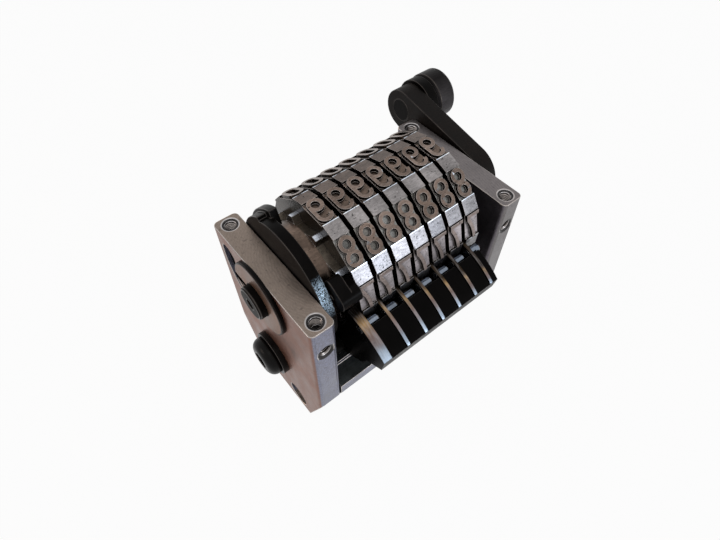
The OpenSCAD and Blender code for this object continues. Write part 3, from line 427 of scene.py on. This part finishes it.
def blade_steel(name, colour):
    """Index blades: blacked, with front edges ground bright, carrying a painted reflection, bronze at the top
    and silver below.
    """
    tree, shader, place, facing = new_finish(name, 0.0, 0.3, 0.03)
    spot = axes(tree, place)
    across = maths(tree, "SUBTRACT", spot[0], BLADES_FROM)
    share = maths(tree, "FRACT", maths(tree, "DIVIDE", across, WHEEL_PITCH))
    edge = maths(tree, "MAXIMUM", maths(tree, "LESS_THAN", share, BLADE_SHARE),
                 maths(tree, "LESS_THAN", spot[0], FIRST_BLADE_TO))
    for limit in (sideways(tree, facing, 0.55, 0.35), ramp(tree, facing[1], 0.5, 0.2),
                  ramp(tree, spot[2], *BLADE_EDGE_TOP)):
        edge = maths(tree, "MULTIPLY", edge, limit)
    tree.links.new(edge, shader.inputs["Metallic"])
    wander = maths(tree, "MULTIPLY", noise(tree, place, 260, detail=3), 1.5 * MM)
    # painted reflection down the front edges, starting lower on the right-hand blades as painted shade
    slope = maths(tree, "MULTIPLY", spot[0], BLADE_TONE_SLOPE)
    start = maths(tree, "MAXIMUM", maths(tree, "ADD", slope, BLADE_TONE_MIDDLE), BLADE_TONE_LEAST)
    along = maths(tree, "SUBTRACT", maths(tree, "SUBTRACT", wander, spot[1]), start)
    level = maths(tree, "DIVIDE", along, maths(tree, "SUBTRACT", BLADE_REACH, start))
    down = add(tree, "ShaderNodeValToRGB", {"Fac": level})
    stops = down.color_ramp.elements
    stops[0].color, stops[1].color = BLADE_REFLECTION_TONES[0][1], BLADE_REFLECTION_TONES[-1][1]
    for reached, tint in BLADE_REFLECTION_TONES[1:-1]:
        stops.new(reached).color = tint
    streak = noise(tree, place, 2600, (1, 0.12, 0.12), 2)
    bright = mix(tree, ramp(tree, streak, 0.45, 0.75), down.outputs[0], BLADE_STREAK)
    bright = mix(tree, 0.3, down.outputs[0], bright)
    tone = mix(tree, edge, rgba(colour, 0.7), bright)
    dress(tree, shader, place, tone, 0.3, grain=(1, 0.15, 0.15), grain_scale=3200, grain_depth=0.18,
          cloud=0.2, specks=0.3, relief=0.01)


def ratchet_face(name, colour):
    """Units ratchet: a brown hub darkened by painted shade except where it faces up, greenish gullets and a
    painted highlight on the lands of the teeth.
    """
    tree, shader, place, facing = new_finish(name, 0.9, 0.28)
    spot = axes(tree, place)
    reach = distance(tree, maths(tree, "SUBTRACT", spot[1], SHAFT.y),
                     maths(tree, "SUBTRACT", spot[2], SHAFT.z))
    teeth = ramp(tree, spot[0], *TEETH_FROM)
    land = maths(tree, "MULTIPLY", ramp(tree, reach, *LAND_R), teeth)
    # painted shade: the hub is darker except on faces that look up
    hub = mix(tree, ramp(tree, facing[2], 0.62, 0.95), rgba(colour, 0.28), rgba(colour))
    tone = mix(tree, teeth, hub, rgba(colour, 0.95, 1.12, 1.15))
    # painted highlight on the lands of the teeth
    tone = mix(tree, land, tone, LAND_GLINT)
    tone = mix(tree, sideways(tree, facing), tone, rgba(colour, 0.8))
    dress(tree, shader, place, tone, 0.28, grain=(0.3, 1, 1), grain_scale=2500, grain_depth=0.25, cloud=0.4,
          specks=0.5)


def on_wheel(tree, place, facing):
    """How far a point stands out from the shaft along its normal, and how far it lies along the rim."""
    spot = axes(tree, place)
    off_y = maths(tree, "SUBTRACT", spot[1], SHAFT.y)
    off_z = maths(tree, "SUBTRACT", spot[2], SHAFT.z)
    height = maths(tree, "ADD", maths(tree, "MULTIPLY", off_y, facing[1]),
                   maths(tree, "MULTIPLY", off_z, facing[2]))
    along = maths(tree, "SUBTRACT", maths(tree, "MULTIPLY", off_z, facing[1]),
                  maths(tree, "MULTIPLY", off_y, facing[2]))
    return height, along


def wheel_chance(tree, place):
    """A number from 0 to 1 that differs from wheel to wheel."""
    across = maths(tree, "SUBTRACT", axes(tree, place)[0], WHEELS_FROM)
    step = maths(tree, "FLOOR", maths(tree, "DIVIDE", across, WHEEL_PITCH))
    return add(tree, "ShaderNodeTexWhiteNoise", {"W": step}, noise_dimensions="1D").outputs["Value"]


def wheel_face(name, colour):
    """Number wheels: brownish figures, painted shade on the floors round them and on walls and sides, painted
    light by the way faces look, satin flats, no two wheels alike.
    """
    tree, shader, place, facing = new_finish(name, 0.9, 0.27)
    height, along = on_wheel(tree, place, facing)
    figure = ramp(tree, height, *FIGURE_HEIGHT)
    flat = ramp(tree, height, *FLAT_HEIGHT)
    wall = ramp(tree, height, *WALL_TOP)
    # painted highlight along one end of each flat
    edge_glint = maths(tree, "MULTIPLY", maths(tree, "SUBTRACT", flat, figure), ramp(tree, along, *FLAT_END))
    # masks for painted light and shade by the way a face looks
    upper = ramp(tree, facing[2], 0.84, 0.94)
    lower = ramp(tree, facing[2], 0.45, 0.35)
    behind = ramp(tree, facing[1], -0.1, 0.1)
    chance = wheel_chance(tree, place)

    floor = mix(tree, chance, rgba(colour, 0.95, 0.98, 0.94), rgba(colour, 1.50, 1.66, 1.70))
    # painted shade on floors that look up, painted light on floors that look down
    floor = mix(tree, upper, floor, rgba(colour, 0.58, 0.46, 0.38))
    floor = mix(tree, lower, floor, rgba(colour, 1.50, 1.50, 1.65))

    top = mix(tree, chance, rgba(colour, 0.72, 0.58, 0.50), rgba(colour, 0.84, 0.70, 0.62))
    # painted light on figure tops that look down
    top = mix(tree, lower, top, rgba(colour, 0.90, 0.80, 0.78))

    satin = mix(tree, chance, rgba(colour, 0.74, 0.80, 0.90), rgba(colour, 1.00, 1.06, 1.16))
    dots = ramp(tree, noise(tree, place, 2900, detail=4, roughness=0.75), 0.47, 0.40)
    dots = maths(tree, "MULTIPLY", dots, maths(tree, "SUBTRACT", 1.0, maths(tree, "MULTIPLY", chance, 0.7)))
    satin = mix(tree, dots, satin, rgba(colour, 0.26, 0.30, 0.34))
    # painted highlight on flats that look up, painted shade on flats that look back
    satin = mix(tree, upper, satin, rgba(colour, 1.08, 1.10, 1.15))
    satin = mix(tree, behind, satin, rgba(colour, 0.50, 0.42, 0.38))

    tone = mix(tree, flat, floor, satin)
    tone = mix(tree, figure, tone, top)
    # the painted highlight laid on the flats
    tone = mix(tree, edge_glint, tone, FLAT_EDGE_GLINT)
    # painted shade on the walls and side faces
    sides = maths(tree, "MAXIMUM", wall, sideways(tree, facing))
    tone = mix(tree, sides, tone, rgba(colour, 0.12, 0.09, 0.07))
    # painted shade in the hollows round the figures
    tone = shade_in_hollows(tree, tone, 1.2 * MM)
    dress(tree, shader, place, tone, 0.27, grain=(0.3, 1, 1), grain_scale=3000, grain_depth=0.28, cloud=0.35,
          specks=0.9, relief=0.03)


def arm_with_painted_sheen(name, colour):
    """Swing arm: blacked steel, with a painted cool speckled highlight on its front rim."""
    tree, shader, place, facing = new_finish(name, 0.2, 0.34, 0.04)
    rim = forwards(tree, facing, 0.66, 0.80)
    for limit in (ramp(tree, facing[2], 0.18, 0.40), sideways(tree, facing, 0.6, 0.4),
                  ramp(tree, axes(tree, place)[1], *ARM_SHEEN_FROM)):
        rim = maths(tree, "MULTIPLY", rim, limit)
    dots = ramp(tree, noise(tree, place, 3800, detail=2), 0.42, 0.56)
    # painted highlight on the front rim
    tone = mix(tree, maths(tree, "MULTIPLY", rim, dots), rgba(colour), ARM_RIM_SHEEN)
    dress(tree, shader, place, tone, 0.34, grain_scale=3000, grain_depth=0.3, cloud=0.35, specks=0.3)


def roller_face(name, colour):
    """Cam roller: dark on its crown, with painted bluish light, paler, on its flank towards the front."""
    tree, shader, place, facing = new_finish(name, 0.1, 0.36, 0.06)
    # painted light on the flank that looks to the front
    tone = mix(tree, forwards(tree, facing, 0.3, 0.95), rgba(colour, 0.8), rgba(colour, 7, 8, 8))
    dress(tree, shader, place, tone, 0.36, grain=(0.1, 1, 1), grain_scale=3500)


def finishes(c):
    """Every finish, and the metal of the worn edges, from the scene's colours."""
    ground_plate("ground_steel", c.ground_steel)
    base_face("base_steel", c.base_steel, c.ground_steel)
    even_metal("bright_steel", c.bright_steel, 0.9, 0.28, grain=(1, 0.1, 0.1), grain_scale=5000)
    bush_face("bush_metal", c.bush_metal)
    even_metal("black_shaft", c.blacked_steel, 0.0, 0.42, 0.03, grain_scale=3000, grain_depth=0.4, cloud=0.4)
    arm_with_painted_sheen("arm_painted_sheen", c.blacked_steel)
    even_metal("black_steel", c.blacked_steel, 0.0, 0.34, 0.04, grain_scale=3000, grain_depth=0.3, cloud=0.35)
    even_metal("lever_black", c.lever_black, 0.0, 0.5, 0.08, grain_scale=1800, grain_depth=0.35, cloud=0.4,
               relief=0.03)
    even_metal("black_screw", c.blacked_steel, 0.0, 0.3, 0.1, grain_scale=3000, grain_depth=0.3)
    roller_face("roller_steel", c.roller_steel)
    ratchet_face("ratchet_steel", c.ratchet_steel)
    wheel_face("wheel_steel", c.wheel_steel)
    blade_steel("blade_black", c.blacked_steel)
    even_metal("nose_steel", c.nose_steel, 0.95, 0.2, grain_depth=0.1, specks=0.1)
    even_metal("spring_steel", c.spring_steel, 0.85, 0.3, grain_scale=4000)
    even_metal("worn_steel", c.worn_steel, 0.95, 0.26, grain_scale=4000, specks=0.2)
    even_metal("thread_steel", c.thread_steel, 0.9, 0.24, grain_scale=4000, specks=0.4)
    plate_edge("plate_edge", c.worn_steel)
    # near-black broken edges of the bushes: painted shade
    even_metal("bush_edge_shade", BUSH_EDGE_SHADE, 0.6, 0.35, 0.1, grain_scale=4000)
    even_metal("worn_black", c.worn_black, 0.7, 0.3, 0.3, grain_scale=4000, cloud=0.4)


def paint(node, *names):
    """A CAD node gets its finish, and after it the finish of its worn edges."""
    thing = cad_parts[node]
    thing.data.materials.clear()
    for name in names:
        thing.data.materials.append(FINISHES[name])


def break_edges(node, width):
    """The node's sharp edges are rounded and take its second finish; its own mesh stays."""
    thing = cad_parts[node]
    weld = thing.modifiers.new("weld", "WELD")
    weld.merge_threshold = 1e-6
    flat = thing.modifiers.new("flats", "DECIMATE")
    flat.decimate_type = "DISSOLVE"
    flat.angle_limit = math.radians(0.6)
    bevel = thing.modifiers.new("edges", "BEVEL")
    bevel.width = width
    bevel.segments = 2
    bevel.limit_method = "ANGLE"
    bevel.angle_limit = math.radians(32)
    bevel.use_clamp_overlap = False
    bevel.miter_outer = "MITER_ARC"
    bevel.harden_normals = False
    bevel.material = 1
    smooth = thing.modifiers.new("normals", "WEIGHTED_NORMAL")
    smooth.keep_sharp = False


# Wires and threads

def link_mesh(name, shape, finish, smooth=True):
    """A new object from mesh data, with its finish."""
    mesh = bpy.data.meshes.new(name)
    shape.to_mesh(mesh)
    shape.free()
    for face in mesh.polygons:
        face.use_smooth = smooth
    mesh.materials.append(FINISHES[finish])
    made = bpy.data.objects.new(name, mesh)
    bpy.context.scene.collection.objects.link(made)
    return made


def round_wire(name, path, radius):
    """A round wire of spring steel along a path of points, closed at both ends."""
    sides = 12
    shape = bmesh.new()
    rings = []
    side = None
    for i, point in enumerate(path):
        ahead = (path[min(i + 1, len(path) - 1)] - path[max(i - 1, 0)]).normalized()
        if side is None:
            side = ahead.orthogonal().normalized()
        side = (side - ahead * side.dot(ahead)).normalized()
        other = ahead.cross(side)
        rings.append([shape.verts.new(point + radius * (math.cos(t) * side + math.sin(t) * other))
                      for t in (2 * math.pi * j / sides for j in range(sides))])
    for near, far in zip(rings, rings[1:]):
        for j in range(sides):
            shape.faces.new((near[j], near[(j + 1) % sides], far[(j + 1) % sides], far[j]))
    shape.faces.new(list(reversed(rings[0])))
    shape.faces.new(rings[-1])
    return link_mesh(name, shape, "spring_steel")


def about(radius, phi, x):
    """A point about the shaft; phi is turned from straight up towards the front."""
    turn = math.radians(phi)
    return Vector((x, SHAFT.y - radius * math.sin(turn), SHAFT.z + radius * math.cos(turn)))


def smooth_path(points):
    """A softer path through points that stand a little apart."""
    steps = 6
    out = []
    for i in range(len(points) - 1):
        p0, p1 = points[max(i - 1, 0)], points[i]
        p2, p3 = points[i + 1], points[min(i + 2, len(points) - 1)]
        for j in range(steps):
            t = j / steps
            out.append(0.5 * (2 * p1 + (p2 - p0) * t + (2 * p0 - 5 * p1 + 4 * p2 - p3) * t * t
                              + (3 * p1 - p0 - 3 * p2 + p3) * t ** 3))
    out.append(points[-1])
    return out


def thread(name, mouth, down, across, start, end, pitch):
    """The ridge of a cut thread, wound on the wall of a tapped hole."""
    root, crest = HOLE_R * 1.03, HOLE_R * 0.84
    profile = ((-0.46, root), (-0.08, crest), (0.08, crest), (0.46, root))
    shape = bmesh.new()
    other = down.cross(across)
    rows = []
    for i in range(int((end - start) / pitch * TURN_STEPS) + 1):
        turn = 2 * math.pi * i / TURN_STEPS
        depth = start + pitch * i / TURN_STEPS
        way = math.cos(turn) * across + math.sin(turn) * other
        rows.append([shape.verts.new(mouth + down * (depth + shift * pitch) + way * reach)
                     for shift, reach in profile])
    for near, far in zip(rows, rows[1:]):
        for j in range(len(profile) - 1):
            shape.faces.new((near[j], near[j + 1], far[j + 1], far[j]))
    return link_mesh(name, shape, "thread_steel", smooth=False)


def button_head(name, seat, way, middle, radius, height, socket, depth):
    """A domed screw head along X with a six-sided socket; its rim is worn."""
    sides = 72
    dome_steps = 12
    skirt = 0.22
    socket_edge = 0.14 * MM
    crown = radius - socket * 1.36
    profile = [(radius * 0.97, 0.0), (radius, radius * 0.03), (radius, height * skirt)]
    for i in range(1, dome_steps + 1):
        t = math.pi / 2 * i / dome_steps
        profile.append((radius - crown * (1 - math.cos(t)), height * (skirt + (1 - skirt) * math.sin(t))))
    shape = bmesh.new()

    def ring(reach, rise):
        turns = (2 * math.pi * i / sides for i in range(sides))
        return [shape.verts.new((seat + way * rise, middle[0] + reach(a) * math.cos(a),
                                 middle[1] + reach(a) * math.sin(a))) for a in turns]

    def six(size):
        return lambda a: size / math.cos((a % (math.pi / 3)) - math.pi / 6)

    rings = [ring(lambda a, r=r: r, h) for r, h in profile]
    rings.append(ring(six(socket + socket_edge), height))
    rings.append(ring(six(socket), height - socket_edge))
    rings.append(ring(six(socket), height - depth))
    rings.append(ring(lambda a: socket * 0.2, height - depth * 1.15))
    for n, (near, far) in enumerate(zip(rings, rings[1:])):
        for i in range(sides):
            j = (i + 1) % sides
            face = shape.faces.new((near[i], near[j], far[j], far[i]))
            face.material_index = 1 if n == len(profile) else 0
            face.smooth = n < len(profile) - 1
    shape.faces.new(rings[-1])
    shape.faces.new(rings[0])
    bmesh.ops.recalc_face_normals(shape, faces=shape.faces)
    smooth = [face.smooth for face in shape.faces]
    made = link_mesh(name, shape, "black_screw")
    for face, soft in zip(made.data.polygons, smooth):
        face.use_smooth = soft
    made.data.materials.append(FINISHES["worn_black"])
    return made


# Operators

class NUMBERBOX_OT_stage(bpy.types.Operator):
    """Camera at the photograph's angle, pale floor, plain light"""

    bl_idname = "numberbox.stage"
    bl_label = "Stage"

    def execute(self, context):
        scene = context.scene
        sizes = scene.numbering_box_sizes
        colours = scene.numbering_box_colours
        scene.view_settings.view_transform = "Standard"

        turn, rise = math.radians(CAMERA_TURN), math.radians(CAMERA_RISE)
        back = Vector((math.sin(turn) * math.cos(rise), -math.cos(turn) * math.cos(rise), math.sin(rise)))
        right = Vector((0, 0, 1)).cross(back).normalized()
        up = back.cross(right)
        lens = bpy.data.cameras.new("camera")
        lens.sensor_width = 36
        lens.lens = sizes.lens
        lens.clip_start = 0.01
        camera = bpy.data.objects.new("camera", lens)
        scene.collection.objects.link(camera)
        turned = Matrix((right, up, back)).transposed().to_4x4()
        camera.matrix_world = Matrix.Translation(CAMERA_PLACE) @ turned
        scene.camera = camera

        shape = bmesh.new()
        bmesh.ops.create_circle(shape, cap_ends=True, segments=96, radius=sizes.floor_radius)
        mesh = bpy.data.meshes.new("floor")
        shape.to_mesh(mesh)
        shape.free()
        floor = bpy.data.objects.new("floor", mesh)
        scene.collection.objects.link(floor)
        pale = bpy.data.materials.new("pale_floor")
        pale.use_nodes = True
        tree = pale.node_tree
        tree.nodes.clear()
        cloth = add(tree, "ShaderNodeBsdfDiffuse", {"Color": rgba(colours.floor)})
        glow = add(tree, "ShaderNodeEmission", {"Color": (1, 1, 1, 1), "Strength": 1.0})
        share = maths(tree, "MULTIPLY", seen_rays(tree), FLOOR_GLOW)
        blend = add(tree, "ShaderNodeMixShader", {0: share, 1: cloth.outputs[0], 2: glow.outputs[0]})
        out = add(tree, "ShaderNodeOutputMaterial")
        tree.links.new(blend.outputs[0], out.inputs[0])
        mesh.materials.append(pale)

        world = bpy.data.worlds.new("studio")
        scene.world = world
        world.use_nodes = True
        tree = world.node_tree
        tree.nodes.clear()
        strength = maths(tree, "ADD", maths(tree, "MULTIPLY", seen_rays(tree), 1 - SKY_LIGHT), SKY_LIGHT)
        sky = add(tree, "ShaderNodeBackground", {"Color": (1, 1, 1, 1), "Strength": strength})
        out = add(tree, "ShaderNodeOutputWorld")
        tree.links.new(sky.outputs[0], out.inputs[0])

        for name, place, size, power, colour in LAMPS:
            lamp = bpy.data.lights.new(name, "AREA")
            lamp.shape = "SQUARE"
            lamp.size = size
            lamp.energy = power
            lamp.color = colour
            panel = bpy.data.objects.new(name, lamp)
            scene.collection.objects.link(panel)
            panel.location = place
            panel.rotation_euler = (LIGHT_AIM - Vector(place)).to_track_quat("-Z", "Y").to_euler()
        return {"FINISHED"}


class NUMBERBOX_OT_frame(bpy.types.Operator):
    """Side plates, base block, bushes, rods, washers and base screws"""

    bl_idname = "numberbox.frame_pieces"
    bl_label = "Frame"

    def execute(self, context):
        sizes = context.scene.numbering_box_sizes
        for node, slot, worn in (
                ("left_side_plate", "ground_steel", "plate_edge"),
                ("right_side_plate", "ground_steel", "plate_edge"),
                ("base_block", "base_steel", "worn_steel"), ("rear_tie_rod", "bright_steel", "worn_steel"),
                ("left_bush", "bush_metal", "bush_edge_shade"), ("right_bush", "bush_metal", "bush_edge_shade"),
                ("blade_pivot_rod", "bright_steel", "worn_steel"),
                ("pivot_sleeves", "black_steel", "worn_black"),
                ("spring_anchor_pin", "bright_steel", "worn_steel"),
                ("side_washers", "black_screw", "worn_black"),
                ("base_screws", "black_screw", "worn_black")):
            paint(node, slot, worn)
            break_edges(node, sizes.edge_width)
        return {"FINISHED"}


class NUMBERBOX_OT_screws(bpy.types.Operator):
    """Domed heads of the side screws and the lever screw"""

    bl_idname = "numberbox.screws"
    bl_label = "Screws"

    def execute(self, context):
        for screws, washer, socket, depth, body, sides in (
                ("side_screws", "side_washers", 2.1 * MM, 1.6 * MM, "frame",
                 {"left_side": -1, "right_side": 1}),
                ("lever_screw", "lever_washer", 1.5 * MM, 1.4 * MM, "crank", {"lever": 1})):
            low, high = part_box(screws)
            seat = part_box(washer)[1].x
            middle = ((low.y + high.y) / 2, (low.z + high.z) / 2)
            heads = []
            for side, way in sides.items():
                heads.append(button_head(f"{side}_screw_head", way * seat, way, middle, (high.y - low.y) / 2,
                                         high.x - seat, socket, depth))
                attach(heads[-1], body)
            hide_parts(screws)
        return {"FINISHED"}


class NUMBERBOX_OT_threads(bpy.types.Operator):
    """Cut threads in the tapped holes of the side plates"""

    bl_idname = "numberbox.threads"
    bl_label = "Threads"

    def execute(self, context):
        pitch = context.scene.numbering_box_sizes.thread_pitch
        first, top_last, front_last = 0.62 * MM, 2.7 * MM, 7.5 * MM
        inset, drop = 2.6 * MM, 8.2 * MM
        across, inwards, down = Vector((1, 0, 0)), Vector((0, 1, 0)), Vector((0, 0, -1))
        for side in ("left", "right"):
            low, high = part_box(f"{side}_side_plate")
            middle = (low.x + high.x) / 2
            for end, y in (("front", low.y + inset), ("rear", high.y - inset)):
                ridge = thread(f"{side}_{end}_top_thread", Vector((middle, y, high.z)), down, across,
                               first, top_last, pitch)
                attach(ridge, "frame")
            ridge = thread(f"{side}_front_thread", Vector((middle, low.y, high.z - drop)), inwards, across,
                           first, front_last, pitch)
            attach(ridge, "frame")
        return {"FINISHED"}


class NUMBERBOX_OT_springs(bpy.types.Operator):
    """Return spring, pawl spring and blade springs as round drawn wire"""

    bl_idname = "numberbox.springs"
    bl_label = "Springs"

    def execute(self, context):
        self.return_spring()
        self.pawl_spring()
        self.blade_springs()
        return {"FINISHED"}

    def return_spring(self):
        """Coil about the shaft, one leg to the anchor pin and one to the collar."""
        low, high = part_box("shaft_collar")
        wire = 0.6 * MM
        coil_r = 6.0 * MM
        leg = 3.8 * MM
        first, turns = -100, 2.75
        last = first + 360 * turns
        steps = int(turns * TURN_STEPS)
        x0, x1 = high.x - wire, low.x + 2 * wire
        start = about(coil_r, first, x0)
        tail = start - leg * (about(1, first + 90, 0) - about(0, 0, 0))
        path = [tail.lerp(start, i / 6) for i in range(6)]
        path += [about(coil_r, first + 360 * turns * i / steps, x0 + (x1 - x0) * i / steps)
                 for i in range(steps + 1)]
        hook = [about(coil_r, last, x1), about(5.4 * MM, last + 5.4, x1), about(4.5 * MM, last + 6, x1)]
        path += smooth_path(hook)[1:]
        spring = round_wire("return_spring_wire", path, wire / 2)
        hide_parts("return_spring")
        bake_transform(spring)

    def pawl_spring(self):
        """Two fine turns about the pawl's pin."""
        low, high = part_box("pawl_spring")
        wire_r = 0.125 * MM
        turns, turn_steps = 2, 24
        middle = (low + high) / 2
        coil_r = (high.z - low.z) / 2 - wire_r
        length = high.x - low.x - 2 * wire_r
        path = []
        for i in range(turns * turn_steps + 1):
            t = 2 * math.pi * i / turn_steps
            path.append(Vector((low.x + wire_r + length * i / (turns * turn_steps),
                                middle.y - coil_r * math.sin(t), middle.z + coil_r * math.cos(t))))
        spring = round_wire("pawl_spring_wire", path, wire_r)
        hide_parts("pawl_spring")
        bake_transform(spring)

    def blade_springs(self):
        """A coil under each blade."""
        low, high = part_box("blade_springs")
        wire_r = 0.2 * MM
        coil_r = 1.18 * MM
        first_in = 1.5 * MM
        turns = 7
        y = (low.y + high.y) / 2
        length = high.z - low.z - 2 * wire_r
        for k in WHEELS:
            left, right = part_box(f"index_blade_{k}")
            x = max((left.x + right.x) / 2, low.x + first_in)
            path = []
            for i in range(turns * TURN_STEPS + 1):
                t = 2 * math.pi * i / TURN_STEPS
                path.append(Vector((x + coil_r * math.cos(t), y + coil_r * math.sin(t),
                                    low.z + wire_r + length * i / (turns * TURN_STEPS))))
            coil = round_wire(f"blade_spring_wire_{k}", path, wire_r)
            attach(coil, "frame")
            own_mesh(coil)
        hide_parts("blade_springs")


class NUMBERBOX_OT_crank(bpy.types.Operator):
    """Shaft, swing arm, pawl, crank lever and cam roller"""

    bl_idname = "numberbox.crank_pieces"
    bl_label = "Crank"

    def execute(self, context):
        sizes = context.scene.numbering_box_sizes
        for node, slot, worn in (
                ("main_shaft", "black_shaft", "worn_black"), ("swing_arm", "arm_painted_sheen", "worn_black"),
                ("stop_pin", "black_steel", "worn_black"), ("drive_pawl", "black_steel", "worn_black"),
                ("drive_pawl_pin", "black_steel", "worn_black"),
                ("shaft_collar", "bright_steel", "worn_steel"),
                ("crank_lever", "lever_black", "worn_black"), ("lever_key", "bright_steel", "worn_steel"),
                ("lever_washer", "black_screw", "worn_black"),
                ("roller_stud", "black_steel", "worn_black"), ("roller_collar", "black_steel", "worn_black"),
                ("cam_roller", "roller_steel", "worn_black"),
                ("roller_retainer", "bright_steel", "worn_steel")):
            paint(node, slot, worn)
            break_edges(node, sizes.edge_width)
        return {"FINISHED"}


class NUMBERBOX_OT_wheels(bpy.types.Operator):
    """Units ratchet and seven number wheels"""

    bl_idname = "numberbox.wheels"
    bl_label = "Wheels"

    def execute(self, context):
        sizes = context.scene.numbering_box_sizes
        paint("units_ratchet", "ratchet_steel", "worn_steel")
        break_edges("units_ratchet", sizes.fine_edge_width)
        for k in WHEELS:
            paint(f"number_wheel_{k}", "wheel_steel", "worn_steel")
            break_edges(f"number_wheel_{k}", sizes.fine_edge_width)
        return {"FINISHED"}


class NUMBERBOX_OT_blades(bpy.types.Operator):
    """Index blades and their noses"""

    bl_idname = "numberbox.blades"
    bl_label = "Blades"

    def execute(self, context):
        sizes = context.scene.numbering_box_sizes
        for k in WHEELS:
            paint(f"index_blade_{k}", "blade_black", "worn_black")
            break_edges(f"index_blade_{k}", sizes.fine_edge_width)
            paint(f"blade_nose_{k}", "nose_steel", "worn_steel")
            break_edges(f"blade_nose_{k}", sizes.fine_edge_width)
        return {"FINISHED"}


class NUMBERBOX_PT_panel(bpy.types.Panel):
    """Lists the pieces"""

    bl_idname = "NUMBERBOX_PT_panel"
    bl_label = "Numbering box"
    bl_space_type = "VIEW_3D"
    bl_region_type = "UI"
    bl_category = "Numbering box"

    def draw(self, context):
        column = self.layout.column()
        for operator in OPERATORS:
            column.operator(operator.bl_idname)
        for name in NumberingBoxSizes.__annotations__:
            column.prop(context.scene.numbering_box_sizes, name)
        for name in NumberingBoxColours.__annotations__:
            column.prop(context.scene.numbering_box_colours, name)


OPERATORS = (NUMBERBOX_OT_stage, NUMBERBOX_OT_frame, NUMBERBOX_OT_screws, NUMBERBOX_OT_threads,
             NUMBERBOX_OT_crank, NUMBERBOX_OT_wheels, NUMBERBOX_OT_blades, NUMBERBOX_OT_springs)
CLASSES = (NumberingBoxSizes, NumberingBoxColours) + OPERATORS + (NUMBERBOX_PT_panel,)


def register():
    for made in CLASSES:
        bpy.utils.register_class(made)
    bpy.types.Scene.numbering_box_sizes = bpy.props.PointerProperty(type=NumberingBoxSizes)
    bpy.types.Scene.numbering_box_colours = bpy.props.PointerProperty(type=NumberingBoxColours)


def unregister():
    del bpy.types.Scene.numbering_box_colours
    del bpy.types.Scene.numbering_box_sizes
    for made in reversed(CLASSES):
        bpy.utils.unregister_class(made)


def main():
    """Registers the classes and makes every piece."""
    register()
    finishes(bpy.context.scene.numbering_box_colours)
    bpy.ops.numberbox.stage()
    bpy.ops.numberbox.frame_pieces()
    bpy.ops.numberbox.screws()
    bpy.ops.numberbox.threads()
    bpy.ops.numberbox.crank_pieces()
    bpy.ops.numberbox.wheels()
    bpy.ops.numberbox.blades()
    bpy.ops.numberbox.springs()


if __name__ == "__main__":
    main()
